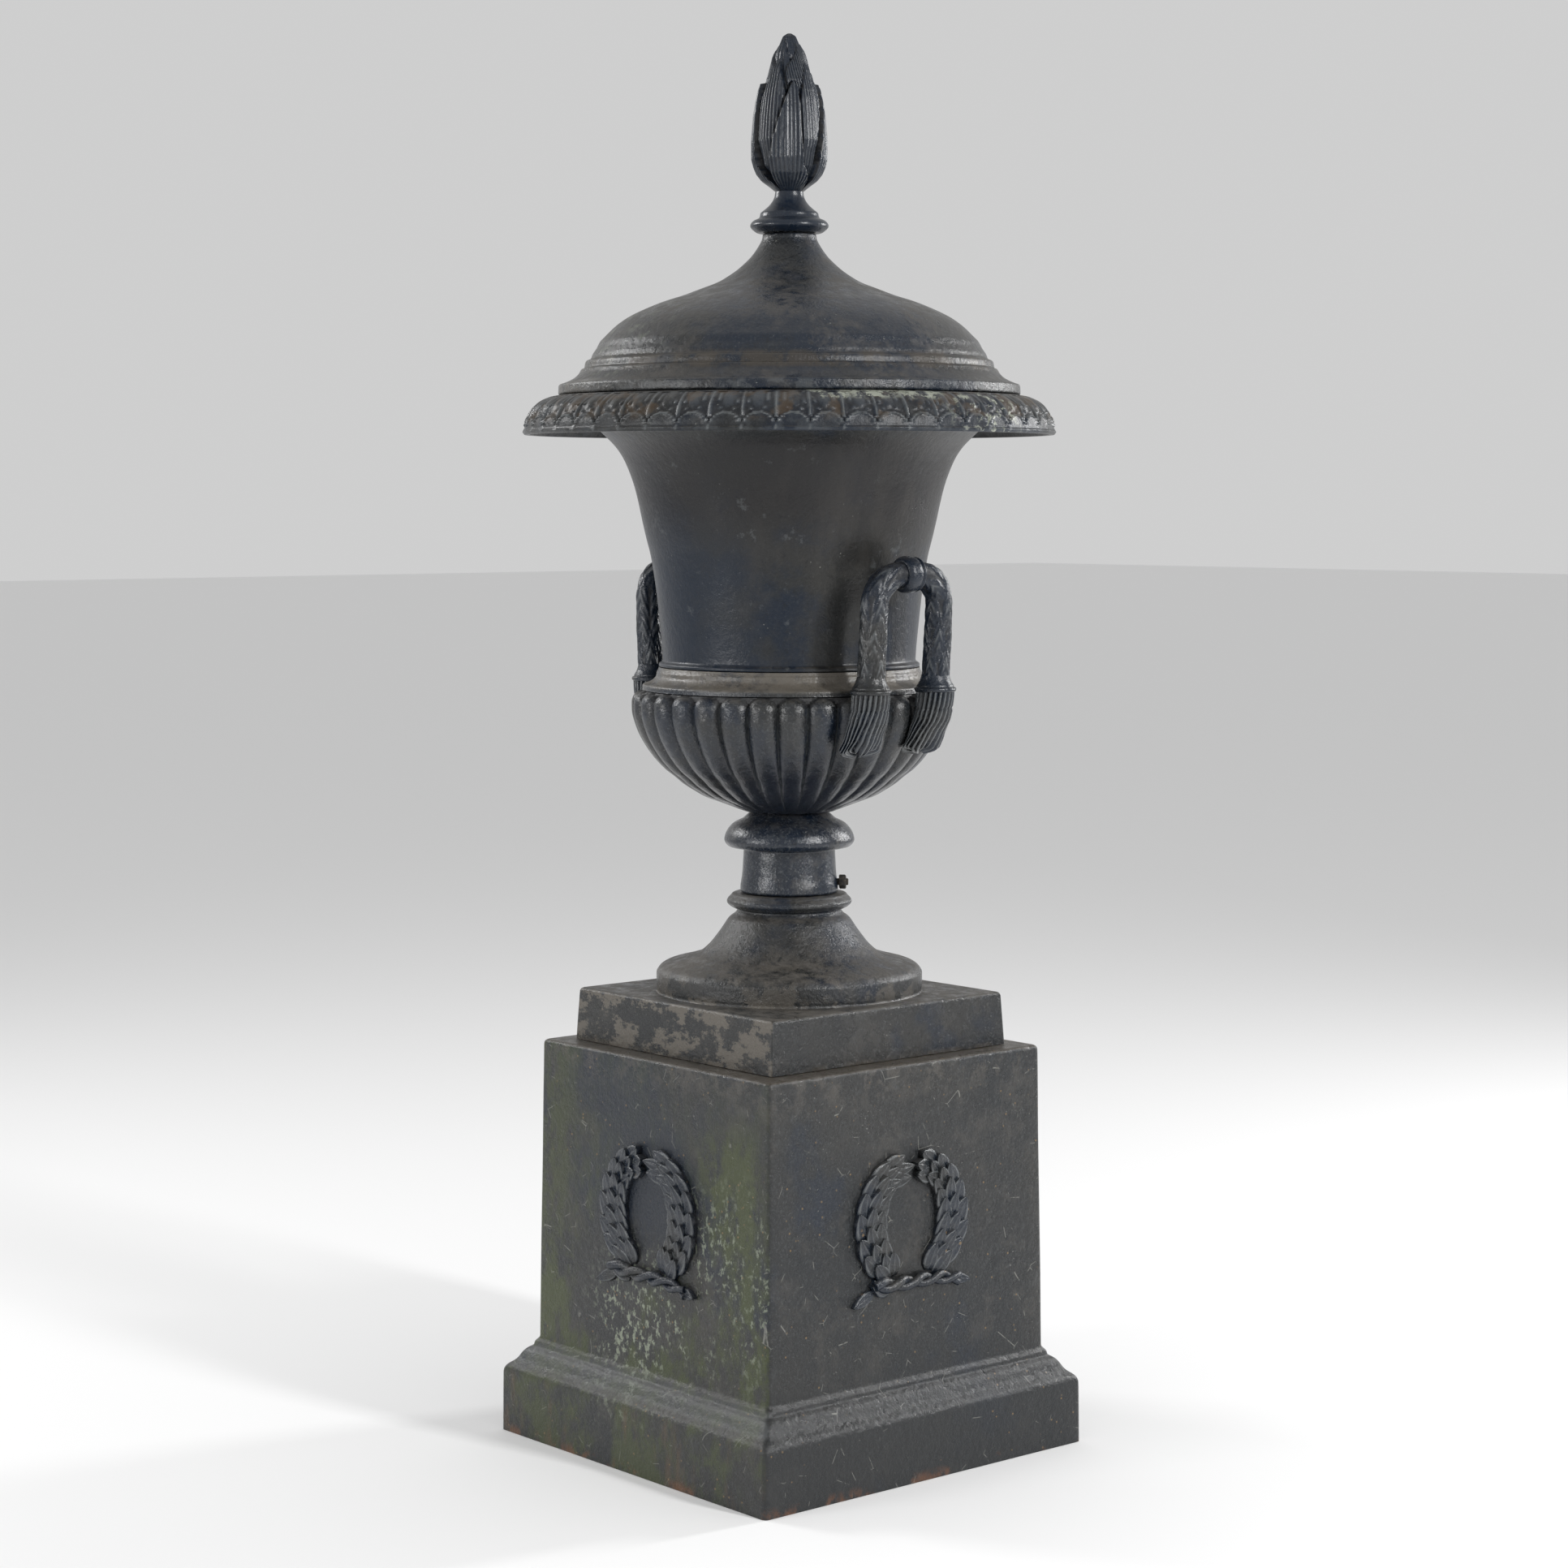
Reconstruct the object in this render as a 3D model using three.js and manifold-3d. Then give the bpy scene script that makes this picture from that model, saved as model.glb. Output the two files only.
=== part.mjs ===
// Garden urn on a pedestal: a lidded campana urn of cast iron on a square pedestal.
// Millimetres, +Z up, the origin on the ground under the middle of the pedestal.
// The handles stand on the X axis.
import * as THREE from 'three';
import { mergeVertices } from 'three/addons/utils/BufferGeometryUtils.js';
import Module from 'manifold-3d';

const wasm = await Module();
wasm.setup();

// Fits
const SEAT_GAP = 0.3;           // between castings that stand on each other
const TASSEL_GAP = 0.3;         // between a tassel and the gadroons it lies on
const BOLT_CLEARANCE = 0.4;     // round the shank of the stem's bolt

// Pedestal
const DADO_WIDTH = 456;         // at its foot
const DADO_DRAFT = 5.4;         // how far each face leans in over its height
const DADO_HEIGHT = 383.7;
const PLINTH_PROJECTION = 35;   // of the plinth beyond the dado's foot
const PLINTH_DRAFT = 1.8;
const PLINTH_HEIGHT = 85;
const MOULDING_HEIGHT = 36;
const EDGE_BEVEL = 3;           // worn edges of the castings
const PEDESTAL_WALL = 10;

// Wreaths on the four faces
const WREATH_WIDTH = 184;
const WREATH_HEIGHT = 172;
const WREATH_CENTRE = 316;      // above the ground
const WREATH_BRANCH = 50;       // width over the leaves of one branch
const WREATH_RELIEF = 14;
const WREATH_LEAF = 42;         // length of a leaf
const WREATH_STATIONS = 5;      // rows of leaves on a branch
const WREATH_SINK = 1.5;        // how far the leaves' edges lie inside the wall
const WREATH_STEM = 15;         // thickness of the twisted stems at the foot

// Foot
const SLAB_STEP = 30.5;         // how far the slab stands in from the dado's top edge
const SLAB_DRAFT = 3;
const SLAB_HEIGHT = 66;
const DISC_INSET = 22;          // from the slab's top edge
const DISC_HEIGHT = 26;
const SOCLE_HEIGHT = 76;
const FOOT_RING_HEIGHT = 21;
const FOOT_RING_PROJECTION = 20;  // beyond the stem
const FOOT_NECK_SWELL = 6;      // of the foot's neck beyond the stem
const FOOT_WALL = 9;

// Stem
const STEM_RADIUS = 59;
const STEM_WALL = 9;
const STEM_HEIGHT = 56;
const KNOP_PROJECTION = 23;
const KNOP_HEIGHT = 46;
const STEM_NECK_RADIUS = 48;
const BOLT_RADIUS = 4.5;
const BOLT_NUT_WIDTH = 15;
const BOLT_NUT_THICKNESS = 9;
const BOLT_HEIGHT = 13;         // above the stem's foot
const BOLT_AZIMUTH = 45;

// Bowl
const BOWL_RADIUS = 197;        // over the gadroons
const BOWL_FOOT_RADIUS = 60;
const BOWL_HEIGHT = 151;        // up to the gadroons' heads
const SHOULDER_HEIGHT = 29;
const GADROONS = 32;
const GADROON_DEPTH = 8;
const BOWL_WALL = 9;
const JOINT_INSET = 34;         // from the gadroons to the joint under the throat

// Throat and rim
const THROAT_HEIGHT = 326;
const BODY_WALL = 8;
const RIM_RADIUS = 330;
const OVOLO_WIDTH = 45;
const OVOLO_HEIGHT = 45;
const RIM_LIP = 9;              // width of the rim's underside edge
const SEAT_WIDTH = 23;          // flat ring that carries the lid
const RIM_LEAVES = 26;
const RIM_LEAF_PHASE = 5.1;     // degrees from the X axis to the first leaf's rib
const RIM_RELIEF = 3.5;

// Lid and finial
const LID_OVERHANG = 1.6;       // of the band beyond the rim's seat
const LID_BAND_HEIGHT = 11;
const LID_MOULDING_HEIGHT = 34;
const DOME_INSET = 42;          // from the band to the dome's foot
const DOME_HEIGHT = 154;
const LID_NECK_RADIUS = 34;
const LID_WALL = 8;
const LID_LIP_DEPTH = 10;       // locating lip that hangs into the mouth
const LID_LIP_CLEARANCE = 11;   // from the mouth's edge, for the flare below it
const FINIAL_RING_PROJECTION = 15;
const FINIAL_FOOT_HEIGHT = 52;
const BUD_RADIUS = 47.5;
const BUD_HEIGHT = 191.5;
const BUD_PETALS = 4;
const BUD_PHASE = -31.6;        // degrees from the X axis to a petal's rib
const BUD_PETAL_DEPTH = 5;

// Handles
const HANDLE_STANDOFF = 13;     // of the rods' axis beyond the gadroons
const HANDLE_LEAN = 8;          // outward over the height
const HANDLE_HEIGHT = 147;      // from the gadroons' heads to the top bar's axis
const HANDLE_SPAN = 105;        // between the axes of the two uprights
const HANDLE_ROD_RADIUS = 17.5;
const HANDLE_CORNER = 38;
const COLLAR_HEIGHT = 22;
const COLLAR_FLARE = 8;
const KNOT_FLARE = 5;
const KNOT_WIDTH = 27;
const TASSEL_LENGTH = 76;
const TASSEL_WIDTH = 62;        // at the fanned end
const TASSEL_THICKNESS = 12;    // at the fanned end

// Smoothness
const TURNED_SIDES = 28;
const SMALL_SIDES = 16;
const HIDDEN_SIDES = 14;
const ROD_SIDES = 8;
const ROD_ARCS = 5;             // facets of a rod in half a turn
const ROD_STEPS = 12;
const CURVE_STEPS = 6;         // of the throat outside
const FLARE_STEPS = 5;

// Levels of the seats above the ground
const PEDESTAL_TOP = PLINTH_HEIGHT + MOULDING_HEIGHT + DADO_HEIGHT;
const FOOT_BASE = PEDESTAL_TOP + SEAT_GAP;
const STEM_BASE = FOOT_BASE + SLAB_HEIGHT + DISC_HEIGHT + SOCLE_HEIGHT + FOOT_RING_HEIGHT + SEAT_GAP;
const BOWL_BASE = STEM_BASE + STEM_HEIGHT + KNOP_HEIGHT + SEAT_GAP;
const GADROON_TOP = BOWL_BASE + BOWL_HEIGHT;
const BODY_BASE = GADROON_TOP + SHOULDER_HEIGHT + SEAT_GAP;
const RIM_SEAT = BODY_BASE + THROAT_HEIGHT + BODY_WALL;
const LID_BASE = RIM_SEAT + SEAT_GAP;
const FINIAL_BASE = LID_BASE + LID_BAND_HEIGHT + LID_MOULDING_HEIGHT + DOME_HEIGHT + SEAT_GAP;

// Radii that neighbouring castings share
const JOINT_RADIUS = BOWL_RADIUS - JOINT_INSET;
const STEM_BORE = STEM_RADIUS - STEM_WALL;
const SEAT_RADIUS = RIM_RADIUS - OVOLO_WIDTH;
const MOUTH_RADIUS = SEAT_RADIUS - SEAT_WIDTH;

const IRON = { roughness: 0.62, metalness: 0.35 };
const SLATE = 0x3a3f43;
const DARK_SLATE = 0x30363c;
const PEDESTAL_GREY = 0x3c3f3c;

// Solids and meshes

function solid(geometry) {
  geometry.deleteAttribute('normal');
  geometry.deleteAttribute('uv');
  const merged = mergeVertices(geometry, 1e-3);
  const index = merged.index.array;
  const faces = [];
  for (let i = 0; i < index.length; i += 3) {
    const [a, b, c] = [index[i], index[i + 1], index[i + 2]];
    if (a !== b && b !== c && c !== a) faces.push(a, b, c);
  }
  return new wasm.Manifold(new wasm.Mesh({
    numProp: 3,
    vertProperties: merged.attributes.position.array,
    triVerts: new Uint32Array(faces),
  }));
}

function join(parts) {
  return parts.reduce((sum, part) => sum.add(part));
}

function piece(name, form, color) {
  const { vertProperties, triVerts } = form.getMesh();
  const geometry = new THREE.BufferGeometry();
  geometry.setAttribute('position', new THREE.BufferAttribute(new Float32Array(vertProperties), 3));
  geometry.setIndex(new THREE.BufferAttribute(new Uint32Array(triVerts), 1));
  const mesh = new THREE.Mesh(geometry, new THREE.MeshStandardMaterial({ color, ...IRON }));
  mesh.name = name;
  return mesh;
}

// Profiles are lists of [radius, height], run so that the metal lies on the left.

function lathe(profile, sides = TURNED_SIDES, start = 0) {
  const points = profile.map(([radius, height]) => new THREE.Vector2(radius, height));
  return new THREE.LatheGeometry(points, sides, start).rotateX(Math.PI / 2);
}

function turned(profile, sides) {
  return solid(lathe(profile, sides));
}

// A square loft: each radius of the profile is a half width.
function squared(profile) {
  const corners = profile.map(([half, height]) => [half * Math.SQRT2, height]);
  return solid(lathe(corners, 4, Math.PI / 4));
}

function shifted(profile, height) {
  return profile.map(([radius, level]) => [radius, level + height]);
}

// Even steps along a smooth curve through a few points.
function curve(points, steps) {
  const line = new THREE.SplineCurve(points.map(([radius, height]) => new THREE.Vector2(radius, height)));
  return line.getSpacedPoints(steps).map((point) => [point.x, point.y]);
}

// Points given as shares of a box from [r0, z0] to [r1, z1].
function within([r0, z0], [r1, z1], shares) {
  return shares.map(([s, t]) => [r0 + (r1 - r0) * s, z0 + (z1 - z0) * t]);
}

// Vertices of a geometry moved by a function of their place.
function carved(geometry, move) {
  const position = geometry.attributes.position;
  const point = new THREE.Vector3();
  for (let i = 0; i < position.count; i += 1) {
    point.fromBufferAttribute(position, i);
    move(point);
    position.setXYZ(i, point.x, point.y, point.z);
  }
  return geometry;
}

function outward(point, distance) {
  const radius = Math.hypot(point.x, point.y);
  const scale = (radius + distance) / radius;
  point.x *= scale;
  point.y *= scale;
}

// Pedestal

function dadoHalf(height) {
  const share = (height - PLINTH_HEIGHT - MOULDING_HEIGHT) / DADO_HEIGHT;
  return DADO_WIDTH / 2 - DADO_DRAFT * share;
}

function pedestalBlock() {
  const foot = DADO_WIDTH / 2 + PLINTH_PROJECTION;
  const plinthTop = foot - PLINTH_DRAFT;
  const dadoBase = PLINTH_HEIGHT + MOULDING_HEIGHT;
  const moulding = within([plinthTop, PLINTH_HEIGHT], [DADO_WIDTH / 2, dadoBase], [
    [0, -0.1], [0.1, 0.02], [0.28, 0.14], [0.45, 0.3], [0.52, 0.44],
    [0.66, 0.61], [0.82, 0.7], [0.84, 0.82], [0.98, 0.9], [1, 1],
  ]);
  const top = dadoHalf(PEDESTAL_TOP);
  const ceiling = PEDESTAL_TOP - PEDESTAL_WALL;
  return squared([
    [0, ceiling],
    [dadoHalf(ceiling) - PEDESTAL_WALL, ceiling],
    [DADO_WIDTH / 2 - PEDESTAL_WALL, dadoBase],
    [plinthTop - PEDESTAL_WALL, PLINTH_HEIGHT - PEDESTAL_WALL],
    [foot - PEDESTAL_WALL, 0],
    [foot, 0],
    ...moulding,
    [top, PEDESTAL_TOP - EDGE_BEVEL],
    [top - EDGE_BEVEL, PEDESTAL_TOP],
    [0, PEDESTAL_TOP],
  ]);
}

// A leaf is a stretched octahedron: four facets rise to one point, and the root stays in the wall.
function wreathLeaf(across, up, turn, length, width, relief) {
  const leaf = new THREE.OctahedronGeometry(1);
  leaf.scale(relief, width / 2, length / 2);
  carved(leaf, (point) => {
    if (point.x < 0) point.x = -PEDESTAL_WALL / 2;
  });
  leaf.rotateX(turn);
  leaf.translate(dadoHalf(up) - WREATH_SINK, across, up);
  return solid(leaf);
}

// One branch of a wreath, from the tie at the foot to the tip at the top.
function branchPoint(side, share) {
  const middle = (WREATH_WIDTH - WREATH_BRANCH) / 2;
  const angle = THREE.MathUtils.lerp(-0.42, 0.47, share) * Math.PI;
  const reach = (WREATH_HEIGHT - WREATH_BRANCH) / 2;
  return {
    across: side * middle * Math.cos(angle) ** 0.7,
    up: WREATH_CENTRE + reach * Math.sin(angle) * 1.05,
    turn: -side * angle,
  };
}

function wreath() {
  const leaves = [];
  for (const side of [-1, 1]) {
    for (let i = 0; i < WREATH_STATIONS; i += 1) {
      const { across, up, turn } = branchPoint(side, (i + 0.5) / WREATH_STATIONS);
      for (const hand of [-1, 1]) {
        const lean = turn - hand * 0.3;
        const off = hand * WREATH_BRANCH * 0.25;
        const y = across + off * Math.cos(turn);
        const z = up + off * Math.sin(turn);
        leaves.push(wreathLeaf(y, z, lean, WREATH_LEAF, WREATH_BRANCH * 0.42, WREATH_RELIEF));
      }
    }
    // The stem crosses the other one at the foot and runs out past its branch.
    const low = WREATH_CENTRE - WREATH_HEIGHT / 2 + WREATH_STEM / 3;
    const stemLength = WREATH_WIDTH * 0.6;
    leaves.push(wreathLeaf(side * WREATH_WIDTH * 0.18, low, side * 1.48, stemLength, WREATH_STEM, WREATH_RELIEF));
  }
  return join(leaves);
}

function pedestal() {
  const faces = [0, 90, 180, 270].map((angle) => wreath().rotate([0, 0, angle]));
  return join([pedestalBlock(), ...faces]);
}

// Foot: slab, disc, flared socle and ring in one casting, hollow from below.

function foot() {
  const slabHalf = dadoHalf(PEDESTAL_TOP) - SLAB_STEP;
  const slabTop = slabHalf - SLAB_DRAFT;
  const discRadius = slabTop - DISC_INSET;
  const neck = STEM_RADIUS + FOOT_NECK_SWELL;
  const ring = STEM_RADIUS + FOOT_RING_PROJECTION;
  const slab = squared([
    [0, 0],
    [slabHalf, 0],
    [slabTop, SLAB_HEIGHT - EDGE_BEVEL],
    [slabTop - EDGE_BEVEL, SLAB_HEIGHT],
    [0, SLAB_HEIGHT],
  ]);
  const pocket = squared([
    [0, -1],
    [slabHalf - FOOT_WALL, -1],
    [slabTop - FOOT_WALL, SLAB_HEIGHT - FOOT_WALL],
    [0, SLAB_HEIGHT - FOOT_WALL],
  ]);
  const discTop = SLAB_HEIGHT + DISC_HEIGHT;
  const neckLevel = discTop + SOCLE_HEIGHT;
  const top = neckLevel + FOOT_RING_HEIGHT;
  const flare = curve(within([discRadius - 3, discTop + 3], [neck, neckLevel], [
    [0, 0], [0.18, 0.11], [0.42, 0.2], [0.62, 0.36], [0.79, 0.6], [0.93, 0.87], [1, 1],
  ]), FLARE_STEPS);
  const bead = within([neck, neckLevel], [ring, top], [[0.7, 0.15], [1, 0.5], [0.8, 0.85], [0.4, 1]]);
  const round = turned([
    [0, SLAB_HEIGHT - FOOT_WALL / 2],
    [discRadius, SLAB_HEIGHT - FOOT_WALL / 2],
    [discRadius, discTop - 2],
    ...flare,
    ...bead,
    [0, top],
  ]);
  const hollow = turned([
    [0, 0],
    [discRadius - FOOT_WALL, 0],
    [discRadius - FOOT_WALL, discTop - FOOT_WALL],
    [neck + (discRadius - neck) * 0.3, discTop + SOCLE_HEIGHT * 0.12],
    [neck - FOOT_WALL + 6, discTop + SOCLE_HEIGHT * 0.6],
    [STEM_BORE, neckLevel],
    [STEM_BORE, top + 1],
    [0, top + 1],
  ], HIDDEN_SIDES);
  return slab.add(round).subtract(pocket).subtract(hollow).translate([0, 0, FOOT_BASE]);
}

// Stem: a waisted tube with a knop at its head.

function stem() {
  const knopRadius = STEM_RADIUS + KNOP_PROJECTION;
  const head = STEM_HEIGHT + KNOP_HEIGHT;
  const knop = within([STEM_NECK_RADIUS, STEM_HEIGHT], [knopRadius, head], [
    [0.83, 0.02], [1, 0.2], [0.95, 0.46], [0.65, 0.66], [0.25, 0.83], [0, 0.97],
  ]);
  const neckBore = STEM_NECK_RADIUS - STEM_WALL;
  const profile = [
    [STEM_BORE, 0],
    [STEM_RADIUS + 3, 0],
    [STEM_RADIUS + 2.5, STEM_HEIGHT * 0.15],
    [STEM_RADIUS, STEM_HEIGHT * 0.5],
    [STEM_RADIUS - 1.5, STEM_HEIGHT],
    ...knop,
    [STEM_NECK_RADIUS, head],
    [neckBore, head],
    [neckBore, STEM_HEIGHT + KNOP_HEIGHT * 0.5],
    [STEM_BORE, STEM_HEIGHT],
    [STEM_BORE, 0],
  ];
  const hole = boltBar(BOLT_RADIUS + BOLT_CLEARANCE, STEM_BORE - 5, STEM_RADIUS + 10);
  return turned(shifted(profile, STEM_BASE), SMALL_SIDES).subtract(hole);
}

// A bar along the bolt's axis between two distances from the stem's axis.
function boltBar(radius, from, to, sides = 8) {
  const bar = new THREE.CylinderGeometry(radius, radius, to - from, sides);
  bar.rotateZ(Math.PI / 2);
  bar.translate((from + to) / 2, 0, STEM_BASE + BOLT_HEIGHT);
  bar.rotateZ(THREE.MathUtils.degToRad(BOLT_AZIMUTH));
  return solid(bar);
}

function stemBolt() {
  const surface = STEM_RADIUS + 3 + SEAT_GAP;
  const nut = boltBar(BOLT_NUT_WIDTH / Math.SQRT2, surface, surface + BOLT_NUT_THICKNESS, 4);
  return nut.add(boltBar(BOLT_RADIUS, STEM_BORE, surface + BOLT_NUT_THICKNESS + 3));
}

// Bowl: a shell with gadroons between its foot and its shoulder.

const BOWL_SHARES = [[0.36, 0.15], [0.68, 0.35], [0.9, 0.58], [1, 0.84]];

function bowlCurve(grow) {
  return within([BOWL_FOOT_RADIUS, BOWL_BASE], [BOWL_RADIUS, GADROON_TOP], BOWL_SHARES)
    .map(([radius, height]) => [radius + grow, height]);
}

// The gadroons' depth: none at the foot, full over the belly, rounded off at the heads.
function gadroonDepth(height) {
  const share = THREE.MathUtils.clamp((height - BOWL_BASE) / BOWL_HEIGHT, 0, 1);
  return GADROON_DEPTH * Math.min(1, share * 3);
}

function gadrooned(profile) {
  const step = (2 * Math.PI) / GADROONS;
  const tip = BOWL_RADIUS - GADROON_DEPTH * 1.7;
  return carved(lathe(profile, GADROONS * 3), (point) => {
    const radius = Math.hypot(point.x, point.y);
    const outside = point.z > BOWL_BASE + 1 && point.z < GADROON_TOP - 1;
    if (!outside || radius < BOWL_FOOT_RADIUS * 0.9) return;
    const turn = Math.atan2(point.y, point.x) / step;
    const inGroove = Math.abs(turn - Math.round(turn)) < 0.1;
    const depth = gadroonDepth(point.z);
    if (inGroove) outward(point, -Math.min(depth, Math.max(radius - tip, depth * 0.6)));
  });
}

function bowlOuter(grow) {
  return solid(gadrooned([
    [0, BOWL_BASE - grow],
    [BOWL_FOOT_RADIUS + grow, BOWL_BASE - grow],
    ...bowlCurve(grow),
    [BOWL_RADIUS - 5 + grow, GADROON_TOP - BOWL_HEIGHT * 0.04],
    [BOWL_RADIUS - GADROON_DEPTH - 6 + grow, GADROON_TOP + grow],
    [0, GADROON_TOP + grow],
  ]));
}

function bowl() {
  const band = BOWL_RADIUS - GADROON_DEPTH - 7;
  const joint = GADROON_TOP + SHOULDER_HEIGHT;
  const shoulder = turned([
    [0, GADROON_TOP - 4],
    [band, GADROON_TOP - 4],
    ...within([JOINT_RADIUS, GADROON_TOP], [band, joint], [
      [1, 0.28], [0.42, 0.42], [0.14, 0.62], [0.14, 0.84], [0, 0.86], [0, 1],
    ]),
    [0, joint],
  ]);
  const inner = GADROON_DEPTH + BOWL_WALL;
  const hollow = turned([
    [0, BOWL_BASE + BOWL_WALL],
    [BOWL_FOOT_RADIUS - 12, BOWL_BASE + BOWL_WALL],
    ...bowlCurve(-inner).filter((point, i) => i > 0).map(([r, z]) => [r - 2, z + 3]),
    [JOINT_RADIUS - BOWL_WALL, GADROON_TOP - 2],
    [JOINT_RADIUS - BOWL_WALL, joint + 1],
    [0, joint + 1],
  ], HIDDEN_SIDES);
  return bowlOuter(0).add(shoulder).subtract(hollow);
}

// Body: the throat and the leafy rim in one casting.

function throatCurve(wall, steps) {
  const lip = JOINT_RADIUS - 5 - wall;
  const edge = SEAT_RADIUS - SEAT_WIDTH * 0.5 - wall * 0.8;
  return curve(within([lip, BODY_BASE + 8], [edge, RIM_SEAT - BODY_WALL + wall * 0.9], [
    [0, 0], [0.04, 0.14], [0.1, 0.32], [0.18, 0.46], [0.27, 0.6], [0.37, 0.7], [0.48, 0.79],
    [0.7, 0.88], [1, 1],
  ]), steps);
}

function throat() {
  return turned([
    [JOINT_RADIUS - BOWL_WALL, BODY_BASE],
    [JOINT_RADIUS, BODY_BASE],
    [JOINT_RADIUS - 1, BODY_BASE + 5],
    ...throatCurve(0, CURVE_STEPS),
    ...throatCurve(BODY_WALL, CURVE_STEPS - 1).reverse(),
    [JOINT_RADIUS - BOWL_WALL, BODY_BASE],
  ]);
}

// The quarter round, from its foot up to the seat.
function ovolo(steps) {
  const quarter = new THREE.EllipseCurve(
    SEAT_RADIUS, RIM_SEAT - OVOLO_HEIGHT, OVOLO_WIDTH, OVOLO_HEIGHT, 0, Math.PI / 2);
  return quarter.getPoints(steps).map((point) => [point.x, point.y]);
}

function rim() {
  const low = RIM_SEAT - OVOLO_HEIGHT;
  const profile = [
    [MOUTH_RADIUS, RIM_SEAT - BODY_WALL * 1.4],
    [SEAT_RADIUS - 6, RIM_SEAT - BODY_WALL * 1.4],
    [RIM_RADIUS - RIM_LIP * 2.4, low + OVOLO_HEIGHT * 0.5],
    [RIM_RADIUS - RIM_LIP, low - 3],
    [RIM_RADIUS - 2, low - 3],
    ...ovolo(3),
    [MOUTH_RADIUS, RIM_SEAT],
    [MOUTH_RADIUS, RIM_SEAT - BODY_WALL * 1.4],
  ];
  const step = (2 * Math.PI) / RIM_LEAVES;
  const ring = carved(lathe(profile, RIM_LEAVES * 2), (point) => {
    const radius = Math.hypot(point.x, point.y);
    const level = (point.z - low) / OVOLO_HEIGHT;
    if (radius < SEAT_RADIUS + 1 || level < 0.25 || level > 0.99) return;
    const onOutside = radius > SEAT_RADIUS + OVOLO_WIDTH * Math.sqrt(1 - level * level) - 1;
    const turn = Math.atan2(point.y, point.x) / step;
    const between = Math.abs(turn - Math.round(turn)) > 0.4;
    if (onOutside && between) outward(point, -RIM_RELIEF);
  });
  ring.rotateZ(THREE.MathUtils.degToRad(RIM_LEAF_PHASE));
  return solid(ring);
}

function body() {
  return throat().add(rim());
}

// Lid: band, moulding, dome and neck in one shell, with a lip that drops into the mouth.

function lid() {
  const band = SEAT_RADIUS + LID_OVERHANG;
  const dome = band - DOME_INSET;
  const bandTop = LID_BASE + LID_BAND_HEIGHT;
  const domeBase = bandTop + LID_MOULDING_HEIGHT;
  const apex = domeBase + DOME_HEIGHT;
  const lip = MOUTH_RADIUS - LID_LIP_CLEARANCE;
  const moulding = within([band, bandTop], [dome, domeBase], [
    [0.3, 0.1], [0.52, 0.32], [0.65, 0.62], [0.76, 0.64], [0.79, 0.92], [1, 0.96],
  ]);
  const domeShares = [
    [0.05, 0.13], [0.14, 0.25], [0.32, 0.385], [0.64, 0.53], [0.79, 0.62], [0.9, 0.74], [0.97, 0.88],
  ];
  const crown = within([dome, domeBase], [LID_NECK_RADIUS, apex], domeShares);
  const inside = within([dome - LID_WALL, domeBase], [0, apex - LID_WALL * 4], [
    [0.06, 0.2], [0.28, 0.5], [0.7, 0.76],
  ]).reverse();
  return turned([
    [0, apex - LID_WALL * 4],
    ...inside,
    [dome - LID_WALL, domeBase - 4],
    [lip - LID_WALL, bandTop - 2],
    [lip - LID_WALL, LID_BASE - LID_LIP_DEPTH],
    [lip, LID_BASE - LID_LIP_DEPTH],
    [lip, LID_BASE],
    [band - 1.5, LID_BASE],
    [band, LID_BASE + LID_BAND_HEIGHT * 0.3],
    [band - 2, bandTop - 1],
    ...moulding,
    ...crown,
    [LID_NECK_RADIUS, apex],
    [0, apex],
  ], TURNED_SIDES);
}

// Finial: a turned foot with a bud of pointed petals.

function finialFoot() {
  const ring = LID_NECK_RADIUS + FINIAL_RING_PROJECTION;
  const foot = within([0, FINIAL_BASE], [ring, FINIAL_BASE + FINIAL_FOOT_HEIGHT], [
    [0, 0], [0.84, 0], [1, 0.16], [0.97, 0.26], [0.76, 0.36], [0.72, 0.48],
    [0.52, 0.62], [0.39, 0.8], [0.35, 1],
  ]);
  return turned([...foot, [0, FINIAL_BASE + FINIAL_FOOT_HEIGHT + 4]], SMALL_SIDES);
}

function bud() {
  const base = FINIAL_BASE + FINIAL_FOOT_HEIGHT - 1;
  const shares = [
    [0, 0], [0.35, 0.004], [0.75, 0.06], [0.95, 0.16], [1, 0.29], [0.95, 0.44],
    [0.86, 0.56], [0.62, 0.68], [0.38, 0.87], [0.16, 0.96], [0, 1],
  ];
  const profile = shares.map(([s, t]) => [s * BUD_RADIUS, base + t * (BUD_HEIGHT + 1)]);
  const step = (2 * Math.PI) / BUD_PETALS;
  const form = carved(lathe(profile, BUD_PETALS * 4), (point) => {
    const radius = Math.hypot(point.x, point.y);
    if (radius < 1) return;
    const turn = Math.atan2(point.y, point.x) / step;
    const side = Math.abs(turn - Math.round(turn)) * 2;
    const level = (point.z - base) / BUD_HEIGHT;
    const petal = level < 0.6 ? side : 1 - side;
    const depth = BUD_PETAL_DEPTH * Math.min(1, level * 6, (1 - level) * 6);
    outward(point, -depth * petal * petal);
  });
  form.rotateZ(THREE.MathUtils.degToRad(BUD_PHASE));
  return solid(form);
}

function finial() {
  return finialFoot().add(bud());
}

// Handles: a staple of round rod on two collars, with a fluted tassel under each.

const ROD_FOOT = GADROON_TOP + 8;
const ROD_TOP = GADROON_TOP + HANDLE_HEIGHT;

function rodAxis(height) {
  const share = (height - ROD_FOOT) / (ROD_TOP - ROD_FOOT);
  return BOWL_RADIUS + HANDLE_STANDOFF + HANDLE_LEAN * share;
}

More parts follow.
